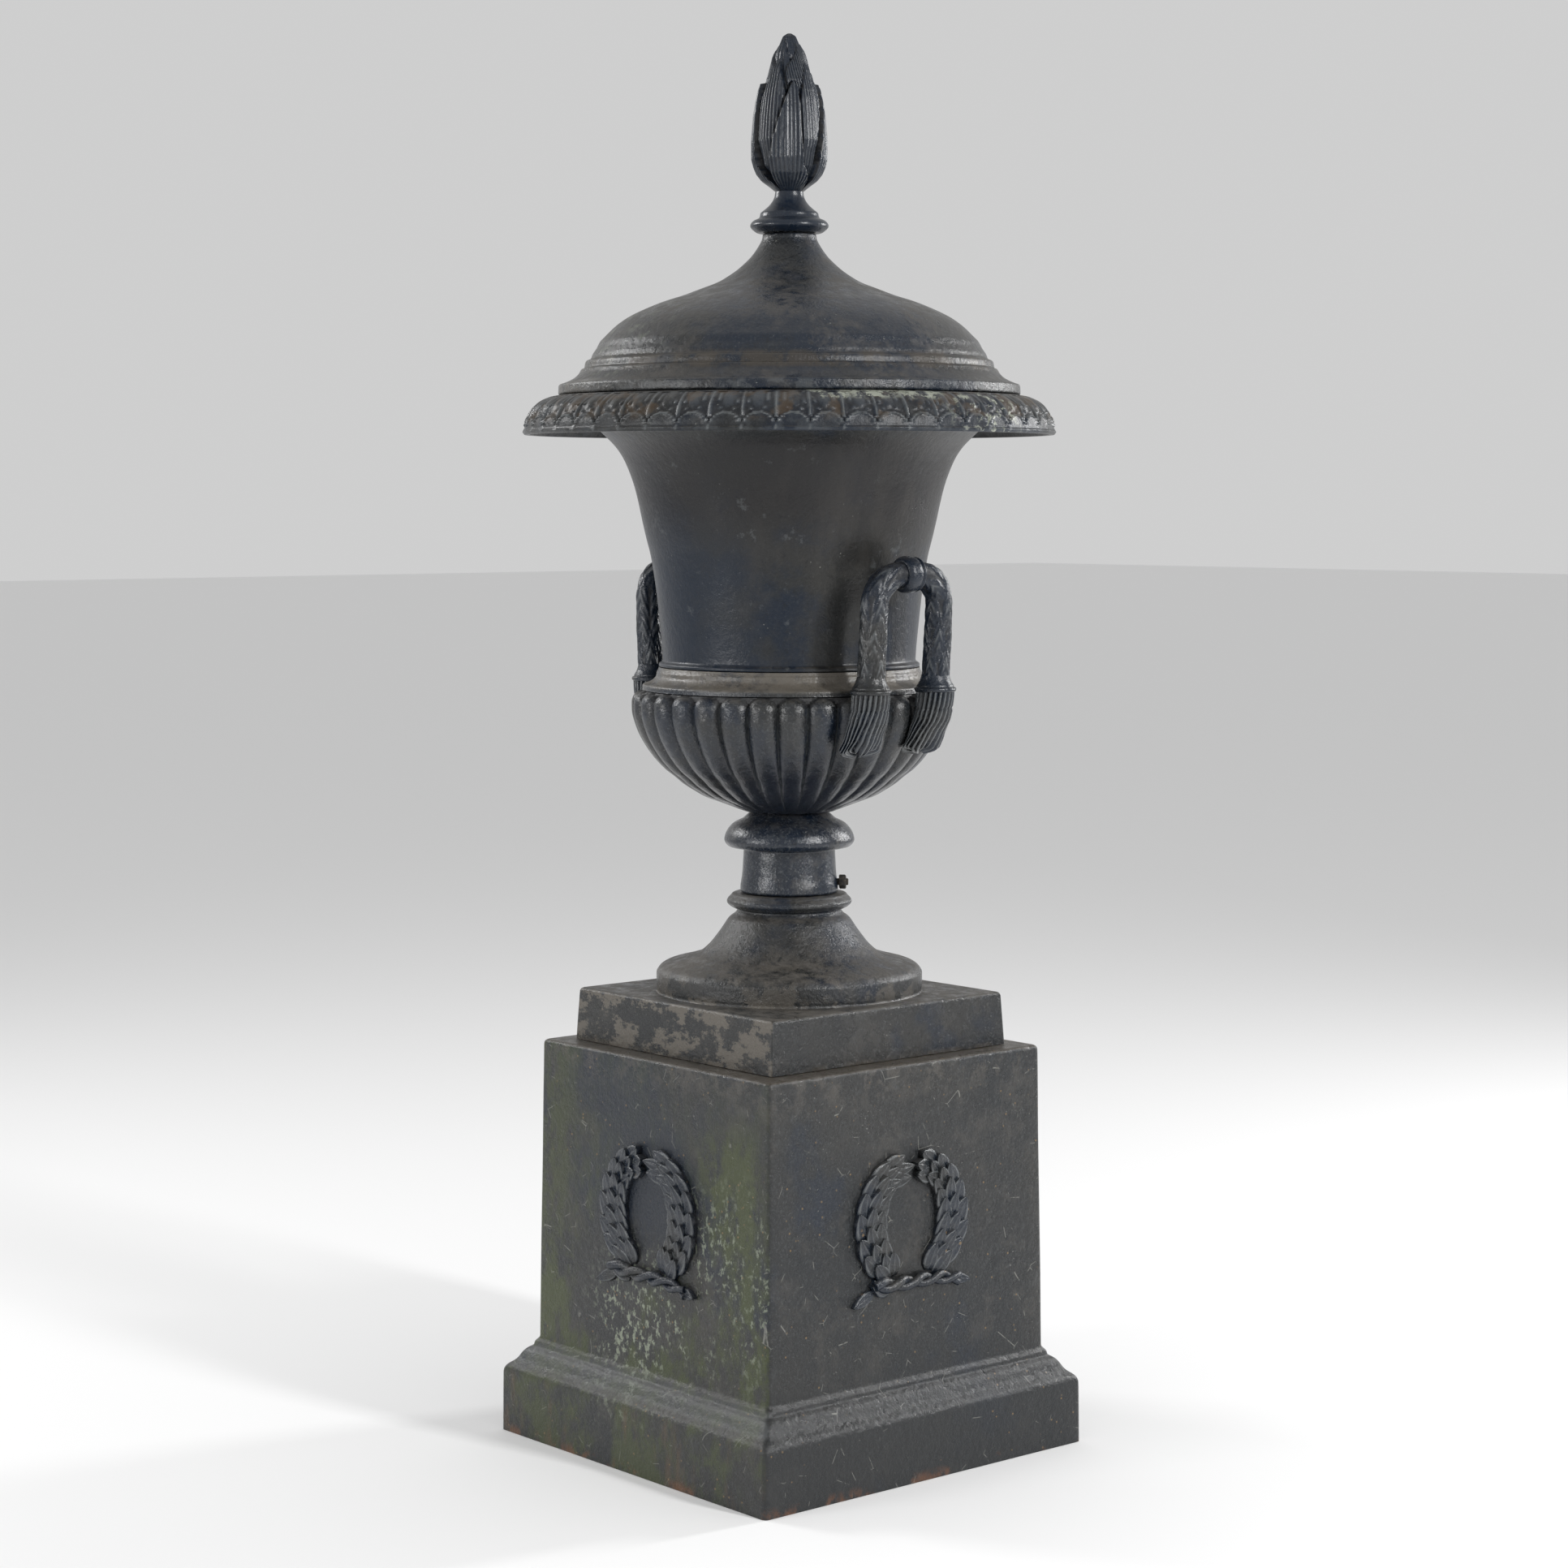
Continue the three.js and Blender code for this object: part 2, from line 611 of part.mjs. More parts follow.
function rod() {
  const half = HANDLE_SPAN / 2;
  const corner = Math.min(HANDLE_CORNER, half - 2);
  const at = (y, z) => new THREE.Vector3(rodAxis(z), y, z);
  const path = new THREE.CurvePath();
  path.add(new THREE.LineCurve3(at(-half, ROD_FOOT), at(-half, ROD_TOP - corner)));
  path.add(new THREE.QuadraticBezierCurve3(
    at(-half, ROD_TOP - corner), at(-half, ROD_TOP), at(corner - half, ROD_TOP)));
  path.add(new THREE.LineCurve3(at(corner - half, ROD_TOP), at(half - corner, ROD_TOP)));
  path.add(new THREE.QuadraticBezierCurve3(
    at(half - corner, ROD_TOP), at(half, ROD_TOP), at(half, ROD_TOP - corner)));
  path.add(new THREE.LineCurve3(at(half, ROD_TOP - corner), at(half, ROD_FOOT)));
  const section = new THREE.Shape();
  section.absarc(0, 0, HANDLE_ROD_RADIUS, 0, 2 * Math.PI);
  const settings = { extrudePath: path, steps: ROD_STEPS, curveSegments: ROD_ARCS };
  return solid(new THREE.ExtrudeGeometry(section, settings));
}

function knot() {
  const wide = HANDLE_ROD_RADIUS + KNOT_FLARE;
  const form = lathe([
    [0, -KNOT_WIDTH / 2],
    [HANDLE_ROD_RADIUS, -KNOT_WIDTH / 2],
    [wide, -KNOT_WIDTH / 5],
    [wide, KNOT_WIDTH / 5],
    [HANDLE_ROD_RADIUS, KNOT_WIDTH / 2],
    [0, KNOT_WIDTH / 2],
  ], ROD_SIDES);
  return solid(form.rotateX(Math.PI / 2).translate(rodAxis(ROD_TOP), 0, ROD_TOP));
}

function collar(side) {
  const wide = HANDLE_ROD_RADIUS + COLLAR_FLARE;
  const form = lathe([
    [0, 0],
    [wide, 0],
    [wide, COLLAR_HEIGHT * 0.25],
    [HANDLE_ROD_RADIUS + 1, COLLAR_HEIGHT],
    [0, COLLAR_HEIGHT],
  ], ROD_SIDES);
  return solid(form.translate(rodAxis(ROD_FOOT), side * HANDLE_SPAN / 2, ROD_FOOT - 4));
}

// The bowl's radius over the gadroons at a height.
function bowlRadiusAt(height) {
  const line = bowlCurve(0);
  const next = line.findIndex(([, level]) => level >= height);
  if (next < 1) return next < 0 ? line.at(-1)[0] : line[0][0];
  const [r0, z0] = line[next - 1];
  const [r1, z1] = line[next];
  return r0 + (r1 - r0) * (height - z0) / (z1 - z0);
}

// A tassel: a fluted skein that leaves the collar and fans out on the bowl.
function tassel(side) {
  const round = HANDLE_ROD_RADIUS + COLLAR_FLARE - 2;
  const skein = new THREE.CylinderGeometry(1, 1, 1, ROD_SIDES, 3).rotateX(Math.PI / 2);
  const form = carved(skein, (point) => {
    const down = 0.5 - point.z;
    const level = ROD_FOOT - TASSEL_LENGTH * down;
    const bulge = Math.sin(Math.PI * Math.min(1, down * 1.2));
    const lying = Math.min(1, down / 0.45);
    const thick = THREE.MathUtils.lerp(round, TASSEL_THICKNESS, down) + bulge;
    const wide = THREE.MathUtils.lerp(round, TASSEL_WIDTH / 2, down * down);
    const onBowl = bowlRadiusAt(level) + thick * 0.4;
    const axis = THREE.MathUtils.lerp(rodAxis(ROD_FOOT), onBowl, lying);
    const spread = side * (HANDLE_SPAN / 2 - 4 * down);
    point.set(axis + point.x * thick, spread + point.y * wide, level);
  });
  return solid(form);
}

// The round the gadroons' crests lie in, with a facet over each crest.
function crestRound(gap) {
  const scale = 1 / Math.cos(Math.PI / GADROONS);
  const line = bowlCurve(gap).concat([
    [BOWL_RADIUS + gap, GADROON_TOP + gap],
    [0, GADROON_TOP + gap],
  ]);
  return turned([[0, BOWL_BASE], ...line.map(([r, z]) => [r * scale, z])], GADROONS);
}

function handle(angle) {
  const ends = [-1, 1].map((side) => collar(side).add(tassel(side)));
  const form = join([rod(), knot(), ...ends]).subtract(crestRound(TASSEL_GAP));
  return form.rotate([0, 0, angle]);
}

const urn = new THREE.Group();
urn.name = 'garden_urn_on_pedestal';
urn.add(piece('pedestal', pedestal(), PEDESTAL_GREY));
urn.add(piece('foot', foot(), SLATE));
urn.add(piece('stem', stem(), DARK_SLATE));
urn.add(piece('stem_bolt', stemBolt(), DARK_SLATE));
urn.add(piece('bowl', bowl(), SLATE));
urn.add(piece('body', body(), SLATE));
urn.add(piece('handle_right', handle(0), DARK_SLATE));
urn.add(piece('handle_left', handle(180), DARK_SLATE));
urn.add(piece('lid', lid(), SLATE));
urn.add(piece('finial', finial(), DARK_SLATE));

export default urn;
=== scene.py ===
"""A lidded cast iron garden urn on its square pedestal, weathered out of doors."""
import math

import bpy
import numpy as np
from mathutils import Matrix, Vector, noise


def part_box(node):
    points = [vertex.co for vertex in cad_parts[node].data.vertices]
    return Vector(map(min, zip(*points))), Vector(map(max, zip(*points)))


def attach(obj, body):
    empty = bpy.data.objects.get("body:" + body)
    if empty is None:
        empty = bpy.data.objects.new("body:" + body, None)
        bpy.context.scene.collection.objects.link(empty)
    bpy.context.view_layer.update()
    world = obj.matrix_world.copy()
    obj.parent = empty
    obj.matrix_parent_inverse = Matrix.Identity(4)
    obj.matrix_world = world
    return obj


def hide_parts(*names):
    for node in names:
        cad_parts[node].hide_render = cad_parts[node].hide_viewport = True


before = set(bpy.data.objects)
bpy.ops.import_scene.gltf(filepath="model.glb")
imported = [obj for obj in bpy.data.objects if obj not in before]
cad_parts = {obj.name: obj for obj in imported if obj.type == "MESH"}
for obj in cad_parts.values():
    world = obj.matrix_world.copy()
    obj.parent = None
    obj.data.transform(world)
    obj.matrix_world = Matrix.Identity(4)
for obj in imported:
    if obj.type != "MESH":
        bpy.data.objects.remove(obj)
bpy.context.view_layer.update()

MM = 0.001


def levels(node):
    """Lowest and highest level of a node, in millimetres."""
    low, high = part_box(node)
    return low[2] / MM, high[2] / MM


PEDESTAL_FOOT, PEDESTAL_TOP = levels("pedestal")
FOOT_BASE, FOOT_TOP = levels("foot")
STEM_BASE, STEM_TOP = levels("stem")
BOWL_BASE, BOWL_TOP = levels("bowl")
BODY_BASE, RIM_SEAT = levels("body")
LID_LIP, LID_TOP = levels("lid")
FINIAL_BASE, FINIAL_TOP = levels("finial")

# The castings' sizes, in millimetres, as the solids have them
CLEAR = 0.25                # the fine surface stays this far inside the solids
DADO_HALF = 228.0
DADO_DRAFT = 5.4
PLINTH_HALF = 263.0
PLINTH_HEIGHT = 85.0
MOULDING_TOP = 121.0
PEDESTAL_WALL = 10.0
SLAB_HALF = 192.1
SLAB_HEIGHT = 66.0
DISC_RADIUS = 167.1
DISC_HEIGHT = 26.0
STEM_RADIUS = 59.0
NECK_RADIUS = 48.0
BOWL_RADIUS = 197.0
GADROON_TOP = BOWL_TOP - 29.0
GADROONS = 32
JOINT_RADIUS = 163.0
RIM_RADIUS = 330.0
OVOLO = 45.0
SEAT_RADIUS = RIM_RADIUS - OVOLO
MOUTH_RADIUS = SEAT_RADIUS - 23.0
RIM_LEAVES = 26
RIM_PHASE = math.radians(5.1)
WALL = 8.0
LID_BASE = LID_LIP + 10.0
LID_RADIUS = 286.4
LID_NECK = 34.0
BUD_BASE = FINIAL_BASE + 51.5
BUD_RADIUS = 47.5
BUD_PHASE = math.radians(-31.6)
HANDLE_SPAN = 105.0
ROD_RADIUS = 17.5
ROD_FOOT = GADROON_TOP + 8.0
ROD_TOP = GADROON_TOP + 147.0
ROD_STANDOFF = BOWL_RADIUS + 13.0
ROD_LEAN = 8.0
WREATH_CENTRE = 316.0
WREATH_HALF_WIDTH = 66.0
WREATH_HALF_HEIGHT = 63.0
SLAB_TOP = FOOT_BASE + SLAB_HEIGHT
RIM_EDGE = RIM_SEAT - OVOLO     # the lowest line of the rim's leaves


# Outlines

def line(*points, step=3.0):
    """Points along straight stretches."""
    made = []
    for a, b in zip(points[:-1], points[1:]):
        count = max(1, int(math.dist(a, b) / step))
        made += [tuple(np.array(a) + (np.array(b) - np.array(a)) * i / count) for i in range(count)]
    return made + [points[-1]]


def bend(*points, step=3.0):
    """Points along a smooth curve through the ones given."""
    p = [np.array(q, float) for q in points]
    p = [2 * p[0] - p[1]] + p + [2 * p[-1] - p[-2]]
    made = []
    for a, b, c, d in zip(p[:-3], p[1:-2], p[2:-1], p[3:]):
        count = max(2, int(np.linalg.norm(c - b) / step))
        for i in range(count):
            t = i / count
            made.append(tuple(0.5 * (2 * b + (c - a) * t + (2 * a - 5 * b + 4 * c - d) * t ** 2
                                     + (3 * b - a - 3 * c + d) * t ** 3)))
    return made + [tuple(p[-2])]


def soften(outline, passes=2, step=1.2):
    """An outline in even steps with its corners rounded as a casting's are."""
    p = np.array(outline, float)
    length = np.concatenate([[0], np.cumsum(np.linalg.norm(np.diff(p, axis=0), axis=1))])
    keep = np.concatenate([[True], np.diff(length) > 1e-6])
    p, length = p[keep], length[keep]
    at = np.linspace(0, length[-1], int(length[-1] / step) + 1)
    p = np.stack([np.interp(at, length, p[:, 0]), np.interp(at, length, p[:, 1])], axis=1)
    for _ in range(passes):
        p[1:-1] = p[1:-1] * 0.5 + (p[:-2] + p[2:]) * 0.25
    return p


def thin(p, gap=9.0, turn=0.03):
    """Fewer points where an outline runs straight."""
    kept = [0]
    for i in range(1, len(p) - 1):
        a = p[i] - p[kept[-1]]
        b = p[i + 1] - p[i]
        bent = abs(math.atan2(a[0] * b[1] - a[1] * b[0], a @ b))
        if bent > turn or np.linalg.norm(a) > gap:
            kept.append(i)
    return p[kept + [len(p) - 1]]


# Meshes

class Stock:
    """Vertices and faces gathered for one mesh, in millimetres."""

    def __init__(self):
        self.points = []
        self.faces = []
        self.depth = []
        self.count = 0

    def grid(self, rows, loop=False, caps=True, depth=None):
        """A closed surface: rows of points that wrap round, capped or joined end to end."""
        rows = np.asarray(rows, float)
        n, m = rows.shape[:2]
        start = self.count
        self.points.append(rows.reshape(-1, 3))
        self.depth.append(np.zeros(n * m) if depth is None else np.asarray(depth, float).reshape(-1))
        self.count += n * m
        i = np.arange(n if loop else n - 1)[:, None]
        j = np.arange(m)[None, :]
        k, l = (i + 1) % n, (j + 1) % m
        quads = np.stack(np.broadcast_arrays(i * m + j, i * m + l, k * m + l, k * m + j), axis=-1)
        self.faces += (quads.reshape(-1, 4) + start).tolist()
        if caps and not loop:
            for row, flip in ((0, True), (n - 1, False)):
                self.points.append(rows[row].mean(axis=0)[None])
                self.depth.append(np.zeros(1))
                middle = self.count
                self.count += 1
                for a in range(m):
                    face = [start + row * m + a, start + row * m + (a + 1) % m, middle]
                    self.faces.append(face[::-1] if flip else face)

    def piece(self, name, finish, nodes=()):
        """The gathered surface as one object that rides on the urn."""
        points = np.concatenate(self.points) * MM
        mesh = bpy.data.meshes.new(name)
        mesh.from_pydata(points.tolist(), [], self.faces)
        # hollow: painted shade with grime where positive, painted highlight with wear where negative
        attribute = mesh.attributes.new("hollow", "FLOAT", "POINT")
        attribute.data.foreach_set("value", np.concatenate(self.depth).astype(np.float32))
        mesh.shade_smooth()
        mesh.set_sharp_from_angle(angle=math.radians(50))
        mesh.materials.append(finish)
        made = bpy.data.objects.new(name, mesh)
        bpy.context.scene.collection.objects.link(made)
        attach(made, "root")
        if nodes:
            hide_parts(*nodes)
        return made


def sway(points, reach, scale):
    """Low waves that a sand casting shows: a small number for each point."""
    flat = points.reshape(-1, 3)
    values = [noise.noise(Vector(q) / scale) for q in flat]
    return np.array(values).reshape(points.shape[:-1]) * reach


def revolve(outline, around, relief=None, phase=0.0, wave=0.25):
    """Rows of points for an outline of radius and height turned round the axis."""
    angle = np.arange(around) * 2 * math.pi / around
    radius = np.repeat(outline[:, :1], around, axis=1)
    height = np.repeat(outline[:, 1:], around, axis=1)
    hollow = np.zeros_like(radius)
    if relief is not None:
        radius, hollow = relief(angle[None, :], radius, height)
    turn = angle[None, :] + phase + np.zeros_like(radius)
    rows = np.stack([radius * np.cos(turn), radius * np.sin(turn), height], axis=-1)
    if wave:
        push = np.minimum(0, sway(rows, wave, 60.0) - wave)
        rows[..., 0] += push * np.cos(turn) * (radius > 5)
        rows[..., 1] += push * np.sin(turn) * (radius > 5)
    return rows, hollow


def step_up(value, low, high):
    """0 up to low, 1 from high, smooth between."""
    t = np.clip((value - low) / (high - low), 0, 1)
    return t * t * (3 - 2 * t)


def square_rows(outline, corner=7.0, side=26, bend_steps=6):
    """Rows for a square loft with rounded corners; the outline's radius is a half width."""
    rows = []
    for half, height in outline:
        r = min(corner, half * 0.5)
        ring = []
        for quarter in range(4):
            turn = quarter * math.pi / 2
            flat = half - r
            run = [(half, -flat + 2 * flat * i / side) for i in range(side)]
            arc = [(flat + r * math.cos(a), flat + r * math.sin(a))
                   for a in np.linspace(0, math.pi / 2, bend_steps + 1)[:-1]]
            for x, y in run + arc:
                ring.append((x * math.cos(turn) - y * math.sin(turn),
                             x * math.sin(turn) + y * math.cos(turn), height))
        rows.append(ring)
    rows = np.array(rows)
    wave = np.minimum(0, sway(rows, 0.5, 90.0) - 0.5)
    reach = np.maximum(np.abs(rows[..., 0]), np.abs(rows[..., 1]))[..., None]
    rows[..., :2] += rows[..., :2] / reach * wave[..., None]
    return rows


# Finishes

class Wire:
    """One output in a finish; arithmetic on it adds Math nodes."""

    def __init__(self, finish, socket):
        self.finish = finish
        self.socket = socket

    def __add__(self, other):
        return self.finish.math("ADD", self, other)

    __radd__ = __add__

    def __mul__(self, other):
        return self.finish.math("MULTIPLY", self, other)

    __rmul__ = __mul__

    def __sub__(self, other):
        return self.finish.math("SUBTRACT", self, other)

    def __rsub__(self, other):
        return self.finish.math("SUBTRACT", other, self)

    def between(self, low, high):
        """0 below low, 1 above high, smooth between; low above high turns it over."""
        return self.finish.get("ShaderNodeMapRange", {"interpolation_type": "SMOOTHSTEP", "clamp": True},
                               {"Value": self, "From Min": low, "From Max": high})


class Finish:
    """A material built from nodes on one principled shader."""

    def __init__(self, name):
        self.material = bpy.data.materials.new(name)
        self.material.use_nodes = True
        self.nodes = self.material.node_tree.nodes
        self.links = self.material.node_tree.links
        self.nodes.clear()
        coordinates = self.node("ShaderNodeTexCoord")
        self.place = Wire(self, coordinates.outputs["Object"])
        parts = self.node("ShaderNodeSeparateXYZ", {}, {0: self.place})
        self.x, self.y, self.z = (Wire(self, socket) for socket in parts.outputs)
        facing = self.node("ShaderNodeSeparateXYZ", {}, {0: Wire(self, coordinates.outputs["Normal"])})
        self.face_x, self.face_y, self.up = (Wire(self, socket) for socket in facing.outputs)
        # hollow is 1 in recesses, where grime and painted shade darken the colour; crest is 1 on raised
        # lines, where worn paint and a painted highlight lighten it
        hollow = self.node("ShaderNodeAttribute", {"attribute_name": "hollow"})
        relief = Wire(self, hollow.outputs["Fac"])
        self.hollow = relief.between(0.0, 1.0)
        self.crest = relief.between(0.0, -1.0)

    def node(self, kind, settings=None, inputs=None):
        """A new node: its settings first, then a value or a link for each input."""
        made = self.nodes.new(kind)
        for key, value in (settings or {}).items():
            setattr(made, key, value)
        for key, value in (inputs or {}).items():
            if isinstance(value, Wire):
                self.links.new(value.socket, made.inputs[key])
            else:
                made.inputs[key].default_value = value
        return made

    def get(self, kind, settings=None, inputs=None, output=0):
        """One output of a new node."""
        return Wire(self, self.node(kind, settings, inputs).outputs[output])

    def math(self, operation, left, right):
        return self.get("ShaderNodeMath", {"operation": operation}, {0: left, 1: right})

    def cloud(self, scale, detail=4.0, rough=0.55, stretch=(1, 1, 1), shift=0.0):
        """Noise from 0 to 1; scale counts features to a metre."""
        place = self.get("ShaderNodeMapping", {}, {"Vector": self.place, "Scale": stretch,
                                                   "Location": (shift, shift * 0.7, shift * 0.3)})
        return self.get("ShaderNodeTexNoise", {}, {"Vector": place, "Scale": scale, "Detail": detail,
                                                   "Roughness": rough})

    def dots(self, scale, size, shift=0.0):
        """Small separate spots: 1 inside a spot."""
        place = self.get("ShaderNodeMapping", {}, {"Vector": self.place, "Location": (shift, shift, shift)})
        cell = self.get("ShaderNodeTexVoronoi", {}, {"Vector": place, "Scale": scale, "Randomness": 1.0})
        return cell.between(size, size * 0.5)

    def blend(self, mask, under, over):
        """The colour under where the mask is 0, over where it is 1."""
        return self.get("ShaderNodeMix", {"data_type": "RGBA"}, {0: mask, 6: under, 7: over}, 2)

    def near(self, place, reach):
        """1 close to a place, 0 beyond reach, in metres."""
        off = self.get("ShaderNodeVectorMath", {"operation": "DISTANCE"}, {0: self.place, 1: place}, 1)
        return off.between(reach, reach * 0.35)

    def over(self, level, low, high):
        """0 below low and 1 above high, heights over a level in millimetres; low above high turns it over."""
        return self.z.between((level + low) * MM, (level + high) * MM)

    def close(self, colour, roughness, height, strength=0.5, distance=0.0015, shine=0.5):
        """The finished material; distance is the bump's depth in metres."""
        bump = self.get("ShaderNodeBump", {}, {"Strength": strength, "Distance": distance, "Height": height})
        shader = self.node("ShaderNodeBsdfPrincipled", {}, {
            "Base Color": colour, "Roughness": roughness, "Normal": bump, "Specular IOR Level": shine})
        end = self.node("ShaderNodeOutputMaterial")
        self.links.new(shader.outputs[0], end.inputs["Surface"])
        return self.material


# Colours, linear
BLUE_BLACK = (0.003, 0.009, 0.021, 1)
SLATE = (0.010, 0.012, 0.014, 1)
NEUTRAL = (0.019, 0.019, 0.018, 1)
PALE_WEAR_AND_SHEEN = (0.10, 0.108, 0.112, 1)
DUST = (0.088, 0.079, 0.067, 1)
PALE_DUST = (0.115, 0.102, 0.084, 1)
EARTH = (0.050, 0.040, 0.028, 1)
ALGAE = (0.040, 0.050, 0.016, 1)
LICHEN = (0.25, 0.28, 0.21, 1)
CRUST = (0.27, 0.285, 0.235, 1)
PALE_SPECK = (0.28, 0.28, 0.25, 1)
STRAW = (0.20, 0.13, 0.06, 1)
RUST = (0.15, 0.060, 0.024, 1)
OCHRE = (0.075, 0.048, 0.024, 1)
UMBER = (0.010, 0.009, 0.010, 1)
DEEP_BLUE = (0.006, 0.013, 0.026, 1)
GRIME_AND_SHADE = (0.005, 0.005, 0.006, 1)

# Places of growth, dust and painted sheen, in metres
LICHEN_BELOW_WREATH = (-0.01, -0.228, 0.165)
LICHEN_BESIDE_WREATH = (0.155, -0.226, 0.25)
RIM_CRUSTS = (              # place, reach and the noise level where each crust starts
    ((0.269, -0.112, 1.307), 0.043, 0.46),
    ((0.287, -0.053, 1.307), 0.045, 0.47),
    ((0.254, -0.141, 1.307), 0.06, 0.55))
RIM_CRUST_RIGHT = (0.315, 0.035, 1.292)
RIM_CRUST_SPREAD = (0.28, 0.00, 1.290)
THROAT_DUST = (0.19, -0.03, 1.12)
LID_LICHEN = (-0.06, -0.23, 1.37)
LID_BAND_DUST_AND_SHEEN = (-0.17, -0.23, 1.32)


def weathered_iron(name, blue=0.5, dust=1.0, growth=None, streak=1.0, gloss=0.0, film=0.3, pale=1.0,
                   rise=1.0, edges=0.8, shine=0.5):
    """Old slate paint on cast iron, with dust on what faces up, wear in patches, grime with painted shade in
    hollows, and worn paint with a painted highlight on raised lines.

    blue, dust, streak, film and pale are shares of those tints, and edges of the wear and painted highlight
    on raised lines.
    rise is the strength of the bump. gloss takes roughness away, and shine is the specular level.
    """
    f = Finish(name)
    tone = f.cloud(5.0, 5.0, 0.6)
    fine = f.cloud(60.0, 6.0, 0.65, shift=3.0)
    grain = f.cloud(300.0, 4.0, 0.75)
    pits = f.cloud(130.0, 4.0, 0.6, shift=13.0)
    runs = f.cloud(16.0, 4.0, 0.6, (1, 1, 0.07), 7.0)
    colour = f.blend(tone.between(0.35, 0.65), SLATE, NEUTRAL)
    start = 0.64 - 0.3 * blue
    blues = f.cloud(4.0, 6.0, 0.65, shift=11.0).between(start, start + 0.10)
    colour = f.blend(blues * 0.85, colour, BLUE_BLACK)
    colour = f.blend(runs.between(0.52, 0.75) * 0.5 * streak, colour, NEUTRAL)
    wear = fine.between(0.55, 0.68) * tone.between(0.4, 0.62)
    colour = f.blend(wear * 0.22 * pale, colour, PALE_WEAR_AND_SHEEN)
    filmed = f.cloud(13.0, 7.0, 0.72, shift=21.0).between(0.50, 0.60) * fine.between(0.36, 0.56)
    colour = f.blend(filmed * film, colour, DUST)
    settled = f.up.between(0.40, 0.95) * fine.between(0.30, 0.62)
    colour = f.blend(settled * 0.7 * dust, colour, DUST)
    # painted shade: recesses darkened, along with the grime that gathers there
    colour = f.blend(f.hollow * 0.9, colour, GRIME_AND_SHADE)
    # painted highlight: raised lines lightened, along with their worn paint
    colour = f.blend(f.crest * fine.between(0.15, 0.60) * edges, colour, PALE_WEAR_AND_SHEEN)
    specks = f.dots(120.0, 0.13) * f.cloud(25.0, 2.0, shift=5.0).between(0.52, 0.66)
    colour = f.blend(specks * 0.45, colour, PALE_SPECK)
    colour = f.blend(grain.between(0.50, 0.70) * 0.38 * pale, colour, PALE_WEAR_AND_SHEEN)
    colour = f.blend(pits.between(0.42, 0.30) * 0.5, colour, GRIME_AND_SHADE)
    if growth:
        colour = growth(f, colour)
    rough = 0.24 - gloss + fine * 0.12 + filmed * film * 0.3 + settled * 0.35 * dust + f.hollow * 0.2
    height = grain * 0.35 + pits * 0.8 + fine * 0.9 + specks * 0.2
    return f.close(colour, rough, height, strength=rise, distance=0.0016, shine=shine)


